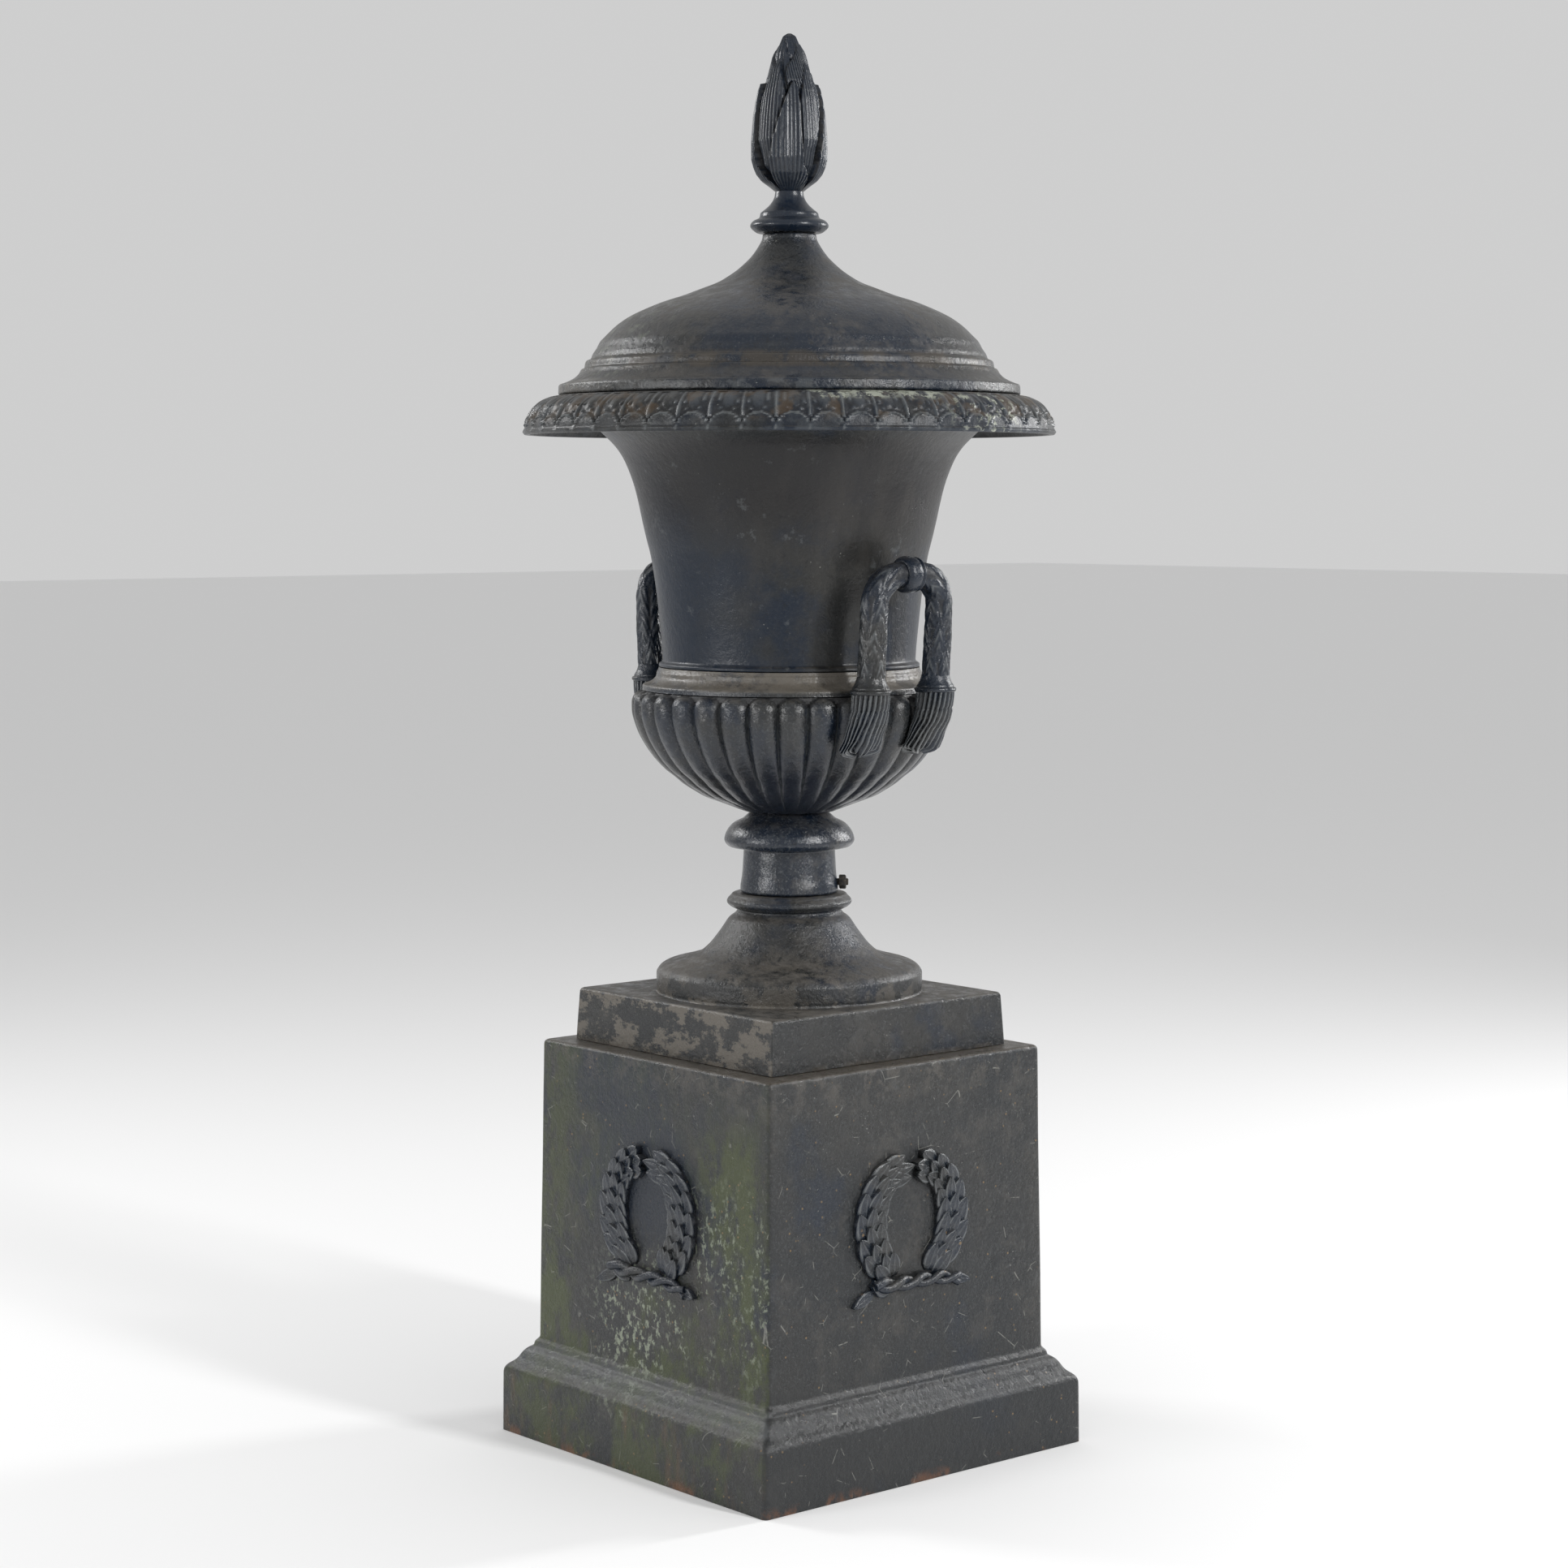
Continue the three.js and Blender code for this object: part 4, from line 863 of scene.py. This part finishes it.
def rim_relief(angle, radius, height):
    """Leaves with a rib and two eggs each, darts between, and scallops along the lower edge."""
    low = RIM_EDGE
    share = np.clip((height - low) / OVOLO, 0, 1)
    front = radius > SEAT_RADIUS + OVOLO * np.sqrt(1 - share ** 2) - 0.8
    on = front & (height > low - 2.5) & (radius > SEAT_RADIUS + 2)
    s = np.arcsin(share) / (math.pi / 2)
    u = (angle * RIM_LEAVES / (2 * math.pi) + 0.5) % 1.0 - 0.5
    side = np.abs(u)
    egg = 1 - ((side - 0.225) / 0.12) ** 2 - ((s - 0.62) / 0.30) ** 2
    egg_ring = 3.6 * np.exp(-((egg + 0.62) / 0.24) ** 2) * (s > 0.20)
    rib = 3.6 * np.exp(-(u / 0.024) ** 2) * step_up(s, 0.10, 0.25)
    dart = np.clip(1 - ((0.5 - side) / (0.060 * step_up(s, 0.15, 0.8) + 0.004)) ** 2, 0, 1)
    reach = np.sqrt(((side - 0.25) / 0.25) ** 2 + (s / 0.27) ** 2)
    scallop = 4.3 * np.exp(-((reach - 0.97) / 0.10) ** 2)
    shape = np.maximum(1.3, 4.2 * np.sqrt(np.clip(egg, 0, 1)))
    shape = np.maximum(np.maximum(shape, egg_ring), rib)
    shape = np.maximum(shape, 3.8 * np.sqrt(dart) * (s > 0.18))
    shape = np.where(reach < 1, 2.0 + 0.6 * reach, shape)
    shape = np.maximum(shape, scallop)
    shape = np.where(s < 0.03, 4.2, shape)
    lines = np.maximum(egg_ring, np.maximum(rib, 3.8 * dart)) * (s > 0.2)
    lines = np.maximum(lines, scallop)
    crest = step_up(lines, 2.4, 3.8)
    shape = shape * 1.3
    deep = 5.6
    edge = step_up(s, 0.0, 0.05) * (1 - step_up(s, 0.985, 1.0))
    drop = (deep - np.minimum(shape, deep)) * edge
    moved = np.where(on, radius - drop * np.cos(np.arcsin(share) * 0.85), radius)
    # painted shade with grime deeper in the carving, painted highlight with worn paint on the raised lines
    return moved, np.where(on, np.clip(drop / deep, 0, 1) * 0.9 * (1 - crest) - crest, 0)


def make_body():
    z = BODY_BASE
    outer = (
        line((JOINT_RADIUS - 9, z + 0.2), (JOINT_RADIUS - CLEAR, z + 0.2), (JOINT_RADIUS - CLEAR, z + 4.5),
             (JOINT_RADIUS - 3.5, z + 6), step=1.4)
        + throat_line(0.4))
    inner = throat_line(WALL)[::-1] + line((JOINT_RADIUS - 9, z + 6), (JOINT_RADIUS - 9, z + 0.4), step=3)
    rows, hollow = revolve(thin(soften(outer + inner, 1, 1.5), 7), around=224)
    stock = Stock()
    stock.grid(rows, loop=True, depth=hollow)
    low = RIM_EDGE
    reach = OVOLO - CLEAR
    quarter = [(SEAT_RADIUS + reach * math.cos(a), low + reach * math.sin(a))
               for a in np.linspace(0, math.pi / 2, 60)]
    ring = (
        line((MOUTH_RADIUS, RIM_SEAT - 11), (SEAT_RADIUS - 6, RIM_SEAT - 11), step=5)
        + bend((SEAT_RADIUS - 6, RIM_SEAT - 11), (RIM_RADIUS - 26, low + 26), (RIM_RADIUS - 12, low + 8),
               (RIM_RADIUS - 9, low - 2.6), step=4)
        + line((RIM_RADIUS - 8, low - 2.8), (RIM_RADIUS - 2.5, low - 2.8), step=1.5)
        + quarter
        + line((SEAT_RADIUS - 2, RIM_SEAT - CLEAR), (MOUTH_RADIUS, RIM_SEAT - CLEAR),
               (MOUTH_RADIUS, RIM_SEAT - 10), step=4))
    rows, hollow = revolve(thin(np.array(ring), 1.3, 0.01), around=RIM_LEAVES * 24, relief=rim_relief,
                           phase=RIM_PHASE, wave=0.15)
    stock.grid(rows, loop=True, depth=hollow)
    return stock.piece("body_casting", BODY_IRON, ["body"])


# Lid

def make_lid():
    z = LID_BASE
    r = LID_RADIUS
    top = LID_TOP
    dome = r - 42
    lip = MOUTH_RADIUS - 11.2
    outside = (
        line((lip, LID_LIP + 0.2), (lip, z), (r - 2.5, z + 0.2), step=3)
        + line((r - 1, z + 0.6), (r - 0.2, z + 2), (r - 0.8, z + 12.4), (r - 2.4, z + 13.8), step=1)
        + bend((r - 5, z + 14.2), (r - 13, z + 17.4), (r - 21, z + 22), (r - 26, z + 27),
               (r - 28.5, z + 31.5), step=1.5)
        + line((r - 29, z + 32.5), (r - 32.5, z + 33), step=1)
        + bend((r - 33, z + 34.5), (r - 33.5, z + 39), (r - 35, z + 42.5), (r - 39, z + 43.8), step=1)
        + bend((dome + 1, z + 45), (dome - 1, z + 51), (dome - 6, z + 58), (dome - 10, z + 66),
               (dome - 18, z + 74), (dome - 26, z + 82), (dome - 36, z + 90), (dome - 49, z + 98),
               (dome - 66, z + 106), (dome - 87, z + 114.5), (dome - 112, z + 122.5), (dome - 133, z + 130.5),
               (dome - 154, z + 138.5), (dome - 168, z + 146.5), (dome - 179.5, z + 154.5),
               (dome - 188.5, z + 162.5), (dome - 196, z + 170), (dome - 202, z + 178), (dome - 207, z + 186),
               (LID_NECK + 0.4, z + 192), (LID_NECK - 0.3, top - 2), step=3)
        + line((LID_NECK - 0.3, top - 1), (LID_NECK - 2, top - 0.2), (0.5, top - 0.2), step=6))
    inside = (
        line((0.5, top - 32), (14, top - 34), step=9)
        + bend((24, top - 40), (dome - 174, z + 130), (dome - 150, z + 120), (dome - 90, z + 98),
               (dome - 40, z + 76), (dome - 18, z + 54), (dome - 9, z + 40), step=9)
        + line((dome - 9, z + 40), (lip - 8, z + 9), (lip - 8, LID_LIP + 0.2), step=6))
    outer = thin(soften(outside, 2, 1.2), 6)
    inner = thin(soften(inside, 1, 4.0), 12)
    rows, hollow = revolve(np.vstack([inner, outer]), around=232, wave=0.5)
    stock = Stock()
    stock.grid(rows, depth=hollow)
    return stock.piece("lid_casting", LID_IRON, ["lid"])


# Finial

def bud_relief(angle, radius, height):
    """Four ribbed petals, four more between them that reach higher, and a twisted tip."""
    z = height - BUD_BASE
    quarter = math.pi / 2
    outer_env = np.interp(z, [0, 5, 12, 20, 28, 38, 60, 78, 92, 106, 122, 131],
                          [20, 26, 34.5, 41, 44.5, 47.2, 47.4, 46, 44.8, 42.4, 39, 36])
    second_env = np.interp(z, [0, 30, 60, 88, 100, 110, 122, 134, 146, 156, 160],
                           [14, 36, 42.5, 40.5, 39, 37.5, 35, 31.5, 28.5, 23, 20])
    third_env = np.interp(z, [0, 90, 134, 150, 160, 170, 178], [10, 33, 28.5, 24.5, 22, 19, 15])
    core_env = np.interp(z, [0, 100, 134, 146, 158, 168, 180, 188, 192],
                         [8, 31, 25, 21.5, 18.5, 16, 11, 7.5, 1])
    u1 = (angle + quarter / 2) % quarter - quarter / 2
    u2 = angle % quarter - quarter / 2
    fold = np.interp(z, [0, 18, 30, 60, 100, 125, 131], [0.5, 0.30, 0.17, 0.13, 0.11, 0.07, 0.01])
    open_side = np.interp(z, [0, 30, 45, 63, 88, 110, 125, 131],
                          [0.5, 0.5, 0.46, 0.40, 0.29, 0.18, 0.08, 0.01])
    half1 = quarter * np.where(u1 > 0, fold, open_side)
    half2 = quarter * np.interp(z, [0, 60, 100, 130, 150, 160], [0.55, 0.55, 0.42, 0.24, 0.09, 0.01])
    grime_and_painted_shading = np.zeros_like(radius)
    turned = (angle + quarter * 0.3 + (z - 130) * 0.008) % (2 * quarter) - quarter
    half3 = quarter * (0.9 * (1 - 0.8 * step_up(z, 140, 178)) + 0.004)
    twist = (angle + z * 0.03) % math.pi - math.pi / 2
    out = core_env * (1 - 0.14 * np.exp(-(twist / 0.16) ** 2)) + 0.4 * np.cos(angle * 20 + z * 0.1)
    for u, half, env, tip in ((turned, half3, third_env, 178), (u2, half2, second_env, 160),
                              (u1, half1, outer_env, 131)):
        share = np.clip(np.abs(u) / half, 0, 1.2)
        rise = np.abs(np.cos(u / quarter * math.pi * 13))
        ribs = 1.3 * rise * step_up(z, 2, 14)
        edge = 1.4 * step_up(share, 0.9, 1.0) * step_up(z, 6, 30)
        petal = env - edge + ribs - 1.5
        seen = (share < 1.0) & (z < tip) & (petal > out)
        out = np.where(seen, petal, out)
        # painted shade at the petal edges and in the grooves, painted highlight on the ribs
        tone = (step_up(share, 0.88, 0.98) * 0.9 + step_up(rise, 0.5, 0.0) * 0.5
                - step_up(rise, 0.75, 1.0) * 0.9)
        grime_and_painted_shading = np.where(seen, tone, grime_and_painted_shading)
    behind = np.clip((np.abs(u1) - half1) / 0.11, 0, 1)
    shade = np.where((np.abs(u1) > half1) & (z < 131), (1 - behind) * step_up(z, 8, 34), 0)
    out -= 2.5 * shade
    grime_and_painted_shading = np.where(shade > 0.1, np.maximum(grime_and_painted_shading, 1.6 * shade), grime_and_painted_shading)
    limit = np.interp(z, [0, 5, 12, 20, 28, 38, 60, 78, 92, 106, 122, 131, 134, 146, 158, 170, 182, 190, 193],
                      [21, 28, 36, 43, 46, BUD_RADIUS, BUD_RADIUS, 46.5, 45.2, 43, 40, 38, 33.5, 30, 24, 18.5,
                       12, 7, 0.5])
    on = (z > 0) & (radius > 1)
    return np.where(on, np.minimum(out, limit), radius), np.where(on, grime_and_painted_shading, 0)


def make_finial():
    z = FINIAL_BASE
    foot = (
        line((0.5, z + 0.2), (40, z + 0.2), step=5)
        + bend((43, z + 2), (47.5, z + 6), (48.8, z + 9), (47.5, z + 12.5), (43.5, z + 16), step=1)
        + bend((38, z + 18), (36.5, z + 21), (36, z + 24.5), (33, z + 27), step=1)
        + bend((28, z + 31), (24, z + 35), (20.5, z + 40), (18.4, z + 45), (17.6, z + 51), step=1.5)
        + line((16, z + 54), (0.5, z + 54), step=5))
    stock = Stock()
    rows, hollow = revolve(thin(soften(foot, 2, 1.0), 4), around=128)
    stock.grid(rows, depth=hollow)
    height = FINIAL_TOP - BUD_BASE
    bud = [(16.0, BUD_BASE - 1)]
    bud += [(40.0, BUD_BASE + 0.3 + (height - 1.0) * t) for t in np.linspace(0, 1, 150)]
    rows, hollow = revolve(np.array(bud), around=320, relief=bud_relief, phase=BUD_PHASE, wave=0)
    stock.grid(rows, depth=hollow)
    return stock.piece("finial_casting", FINIAL_IRON, ["finial"])


# Handles

def rod_axis(height):
    """How far out a handle's rods stand at a height."""
    return ROD_STANDOFF + ROD_LEAN * (height - ROD_FOOT) / (ROD_TOP - ROD_FOOT)


def rod_path():
    """A handle's bent rod as points, from one foot over the top to the other."""
    half = HANDLE_SPAN / 2
    corner = 38.0
    arc = [(-half + corner - corner * math.cos(a), ROD_TOP - corner + corner * math.sin(a))
           for a in np.linspace(0, math.pi / 2, 14)]
    left = [(-half, z) for z in np.linspace(ROD_FOOT, ROD_TOP - corner, 40)[:-1]] + arc
    across = [(y, ROD_TOP) for y in np.linspace(-half + corner, half - corner, 12)[1:-1]]
    right = [(-y, z) for y, z in left[::-1]]
    flat = left + across + right
    return np.array([(rod_axis(z), y, z) for y, z in flat])


def tube_rows(path, size, around):
    """Rings square to a path; size is a radius for each ring and angle."""
    along = np.gradient(path, axis=0)
    along /= np.linalg.norm(along, axis=1)[:, None]
    out = np.array([1.0, 0, 0]) - along * along[:, :1]
    out /= np.linalg.norm(out, axis=1)[:, None]
    side = np.cross(along, out)
    a = np.arange(around) * 2 * math.pi / around
    ring = out[:, None] * np.cos(a)[None, :, None] + side[:, None] * np.sin(a)[None, :, None]
    return path[:, None] + ring * size[..., None]


# Rings of leaves on a rod: start and length from its foot, leaves in the ring, and turn
ROD_LEAVES = ((0, 62, 5, 0.0), (34, 60, 5, 0.63), (72, 58, 4, 0.2), (112, 48, 4, 0.9))


def rod_size(path, around):
    """Long leaves that sheathe the rod from each collar, and a shorter one towards the knot."""
    step = np.linalg.norm(np.diff(path, axis=0), axis=1)
    length = np.concatenate([[0], np.cumsum(step)])
    from_end = np.minimum(length, length[-1] - length)[:, None]
    a = np.arange(around)[None, :] * 2 * math.pi / around
    relief = np.zeros((len(path), around))
    for start, long, count, phase in ROD_LEAVES:
        pitch = 2 * math.pi / count
        u = (a + phase + pitch / 2) % pitch - pitch / 2
        v = np.clip((from_end - start) / long, 0, 1)
        half = pitch * 0.46 * np.sqrt(np.clip(1 - v ** 2.2, 0, 1)) + 0.01
        inside = (np.abs(u) < half) & (from_end > start) & (from_end < start + long)
        blade = 2.1 * np.sqrt(np.clip(1 - (u / half) ** 2, 0, 1))
        blade = blade * np.sin(math.pi * np.clip(0.12 + 0.8 * v, 0, 1))
        vein = 0.45 * np.cos(9 * np.abs(u) / half + from_end * 0.35) * (blade > 0.4)
        relief = np.where(inside, np.maximum(relief, blade + vein), relief)
    size = ROD_RADIUS - 2.6 + relief
    # painted shade with grime low between the leaves, painted highlight on the leaves' raised middles
    tone = np.clip(0.8 - relief / 1.2, 0, 1) * 0.8 - step_up(relief, 1.7, 2.4) * 0.7
    return np.minimum(size, ROD_RADIUS + 0.2), tone


def turned_on(stock, outline, centre, axis, around=72):
    """A small turned form on an axis of its own."""
    axis = np.array(axis, float) / np.linalg.norm(axis)
    one = np.cross(axis, (1.0, 0, 0))
    one /= np.linalg.norm(one)
    two = np.cross(axis, one)
    a = np.arange(around) * 2 * math.pi / around
    p = soften(outline, 1, 0.9)
    radius = p[:, :1]
    rows = (np.array(centre) + axis * p[:, 1][:, None, None]
            + one * (radius * np.cos(a))[..., None] + two * (radius * np.sin(a))[..., None])
    stock.grid(rows)


def bowl_radius(height):
    """The gadroons' outer radius at a height."""
    z = BOWL_BASE
    return np.interp(height, [z, z + 27, z + 53, z + 79, z + 99, z + 121, z + 131],
                     [60, 122, 156, 178, 189, 196, 197])


def tassel_rows(side):
    """A fluted skein from the collar's underside, fanning out where it lies on the bowl."""
    steps, around, strands = 49, 176, 22
    length, top, tip = 73.0, 23.0, 9.0
    gathered = 0.26             # the share of its length that hangs straight from the collar
    rows = []
    hollow = []
    start = ROD_FOOT - 3
    for i in range(steps):
        t = i / (steps - 1)
        level = start - length * t
        lying = step_up(np.array(t), 0.0, 0.62)
        swell = math.sin(math.pi * min(1.0, t * 1.5))
        thick = top + (tip - top) * t ** 0.9 + 2.0 * swell
        wide = top + 1.5 * swell + 8.5 * max(0, t - 0.25) / 0.75
        rest = bowl_radius(level) + thick * 0.35 + 0.8
        centre = rod_axis(ROD_FOOT) * (1 - lying) + rest * lying
        drift = side * (HANDLE_SPAN / 2 - 2 * t)
        a = np.arange(around) * 2 * math.pi / around
        wavy = 0.5 * math.sin(t * 8 + side) + 0.25 * np.sin(a * 4 + t * 5)
        cord = np.abs(np.sin(a * strands / 2 + wavy * step_up(np.array(t), 0.2, 0.5)))
        reed = np.abs(np.sin(a * strands / 2)) if t < gathered else cord
        depth = 0.10 if t < gathered else 0.10 + 0.05 * t
        groove = 1.0 + (reed - 0.8) * depth - 0.05 * math.exp(-((t - 0.27) / 0.02) ** 2)
        end = 1.0 if t < 0.92 else math.sqrt(max(0.08, 1.0 - ((t - 0.92) / 0.08) ** 2))
        x = centre + np.cos(a) * thick * groove * end
        y = drift + np.sin(a) * wide * groove * end
        dip = level - 3.0 * t * (cord - 0.5) + 3 * t * t * np.sin(a * 5 + side * 1.3)
        rows.append(np.stack([x, y, dip], axis=-1))
        # painted shade in the grooves between cords, painted highlight on the cords' crests
        hollow.append(np.clip(0.55 - cord, 0, 1) * 1.6 - step_up(cord, 0.80, 1.0))
    return np.array(rows), np.array(hollow)


def make_handle(name, node, turn):
    stock = Stock()
    path = rod_path()
    around, rings = 80, 220
    dense = np.linspace(0, len(path) - 1, rings)
    path = np.stack([np.interp(dense, np.arange(len(path)), path[:, i]) for i in range(3)], axis=1)
    size, hollow = rod_size(path, around)
    stock.grid(tube_rows(path, size, around), depth=hollow)
    r = ROD_RADIUS
    for side in (-1, 1):
        centre = (rod_axis(ROD_FOOT), side * HANDLE_SPAN / 2, ROD_FOOT - 4)
        flare = (line((0.5, 0.3), (r + 5, 0.3), step=2)
                 + bend((r + 7, 1.0), (r + 8, 3.2), (r + 7.2, 5.8), (r + 4.6, 6.8), step=0.8)
                 + bend((r + 5.2, 8.2), (r + 3.2, 11), (r + 1.4, 14.5), (r + 0.3, 18), (r - 0.8, 22), step=1)
                 + line((r - 3, 23), (0.5, 23), step=3))
        turned_on(stock, flare, centre, (0, 0, 1))
        rows, dark = tassel_rows(side)
        stock.grid(rows[::-1], depth=dark[::-1])
    knot = (line((0.5, -13.2), (r - 1, -13.2), step=3)
            + bend((r + 0.5, -12.6), (r + 3.8, -9), (r + 4.9, -3), (r + 4.6, 3), (r + 3, 6.6), step=1)
            + bend((r + 1.6, 7.4), (r + 3.6, 9), (r + 3.4, 11.4), (r + 1, 12.8), step=0.8)
            + line((r - 1, 13.2), (0.5, 13.2), step=3))
    turned_on(stock, knot, (rod_axis(ROD_TOP), 0, ROD_TOP), (0, 1, 0))
    c, s = math.cos(turn), math.sin(turn)
    for points in stock.points:
        x, y = points[:, 0].copy(), points[:, 1].copy()
        points[:, 0] = x * c - y * s
        points[:, 1] = x * s + y * c
    return stock.piece(name, HANDLE_IRON, [node])


# Floor, light and camera

CAMERA_PLACE = (3.2344, -2.7755, 1.1888)
CAMERA_PITCH = 4.82
CAMERA_TURN = 49.455
FRAME_WIDTH = 1932
FOCAL_PIXELS = 4217.4
URN_MIDDLE = (0, 0, 0.9)


def make_floor():
    mesh = bpy.data.meshes.new("floor")
    reach = 40.0
    mesh.from_pydata([(-reach, -reach, 0), (reach, -reach, 0), (reach, reach, 0), (-reach, reach, 0)], [],
                     [(0, 1, 2, 3)])
    made = bpy.data.objects.new("floor", mesh)
    bpy.context.scene.collection.objects.link(made)
    f = Finish("pale floor")
    mesh.materials.append(f.close((0.86, 0.86, 0.86, 1), 0.8, f.cloud(3.0), strength=0.0))


def make_light(name, place, size, power):
    """A rectangular light turned to the urn's middle; size in metres, power in watts."""
    light = bpy.data.lights.new(name, "AREA")
    light.shape = "RECTANGLE"
    light.size, light.size_y = size
    light.energy = power
    made = bpy.data.objects.new(name, light)
    made.location = place
    aim = Vector(URN_MIDDLE) - Vector(place)
    made.rotation_euler = aim.to_track_quat("-Z", "Y").to_euler()
    bpy.context.scene.collection.objects.link(made)


def make_camera():
    camera = bpy.data.cameras.new("camera")
    camera.sensor_width = 36.0
    camera.lens = FOCAL_PIXELS / FRAME_WIDTH * camera.sensor_width
    made = bpy.data.objects.new("camera", camera)
    made.location = CAMERA_PLACE
    made.rotation_euler = (math.radians(90 - CAMERA_PITCH), 0, math.radians(CAMERA_TURN))
    bpy.context.scene.collection.objects.link(made)
    bpy.context.scene.camera = made


def make_studio():
    make_floor()
    world = bpy.data.worlds.new("studio")
    world.use_nodes = True
    world.node_tree.nodes["Background"].inputs["Color"].default_value = (1, 1, 1, 1)
    world.node_tree.nodes["Background"].inputs["Strength"].default_value = 0.62
    bpy.context.scene.world = world
    bpy.context.scene.view_settings.view_transform = "Standard"
    make_light("right", (3.7, 0.45, 2.4), (0.3, 1.4), 98)
    make_light("front left", (-0.75, -4.2, 1.52), (1.1, 0.5), 46)
    make_light("high left", (-3.1, -1.3, 2.6), (0.9, 0.9), 38)
    make_light("back right", (0.7, 3.6, 1.9), (0.4, 1.6), 62)


make_camera()
make_studio()
make_pedestal()
make_wreaths()
make_foot()
make_stem()
make_bolt()
make_bowl()
make_body()
make_lid()
make_finial()
make_handle("handle_right_casting", "handle_right", 0.0)
make_handle("handle_left_casting", "handle_left", math.pi)
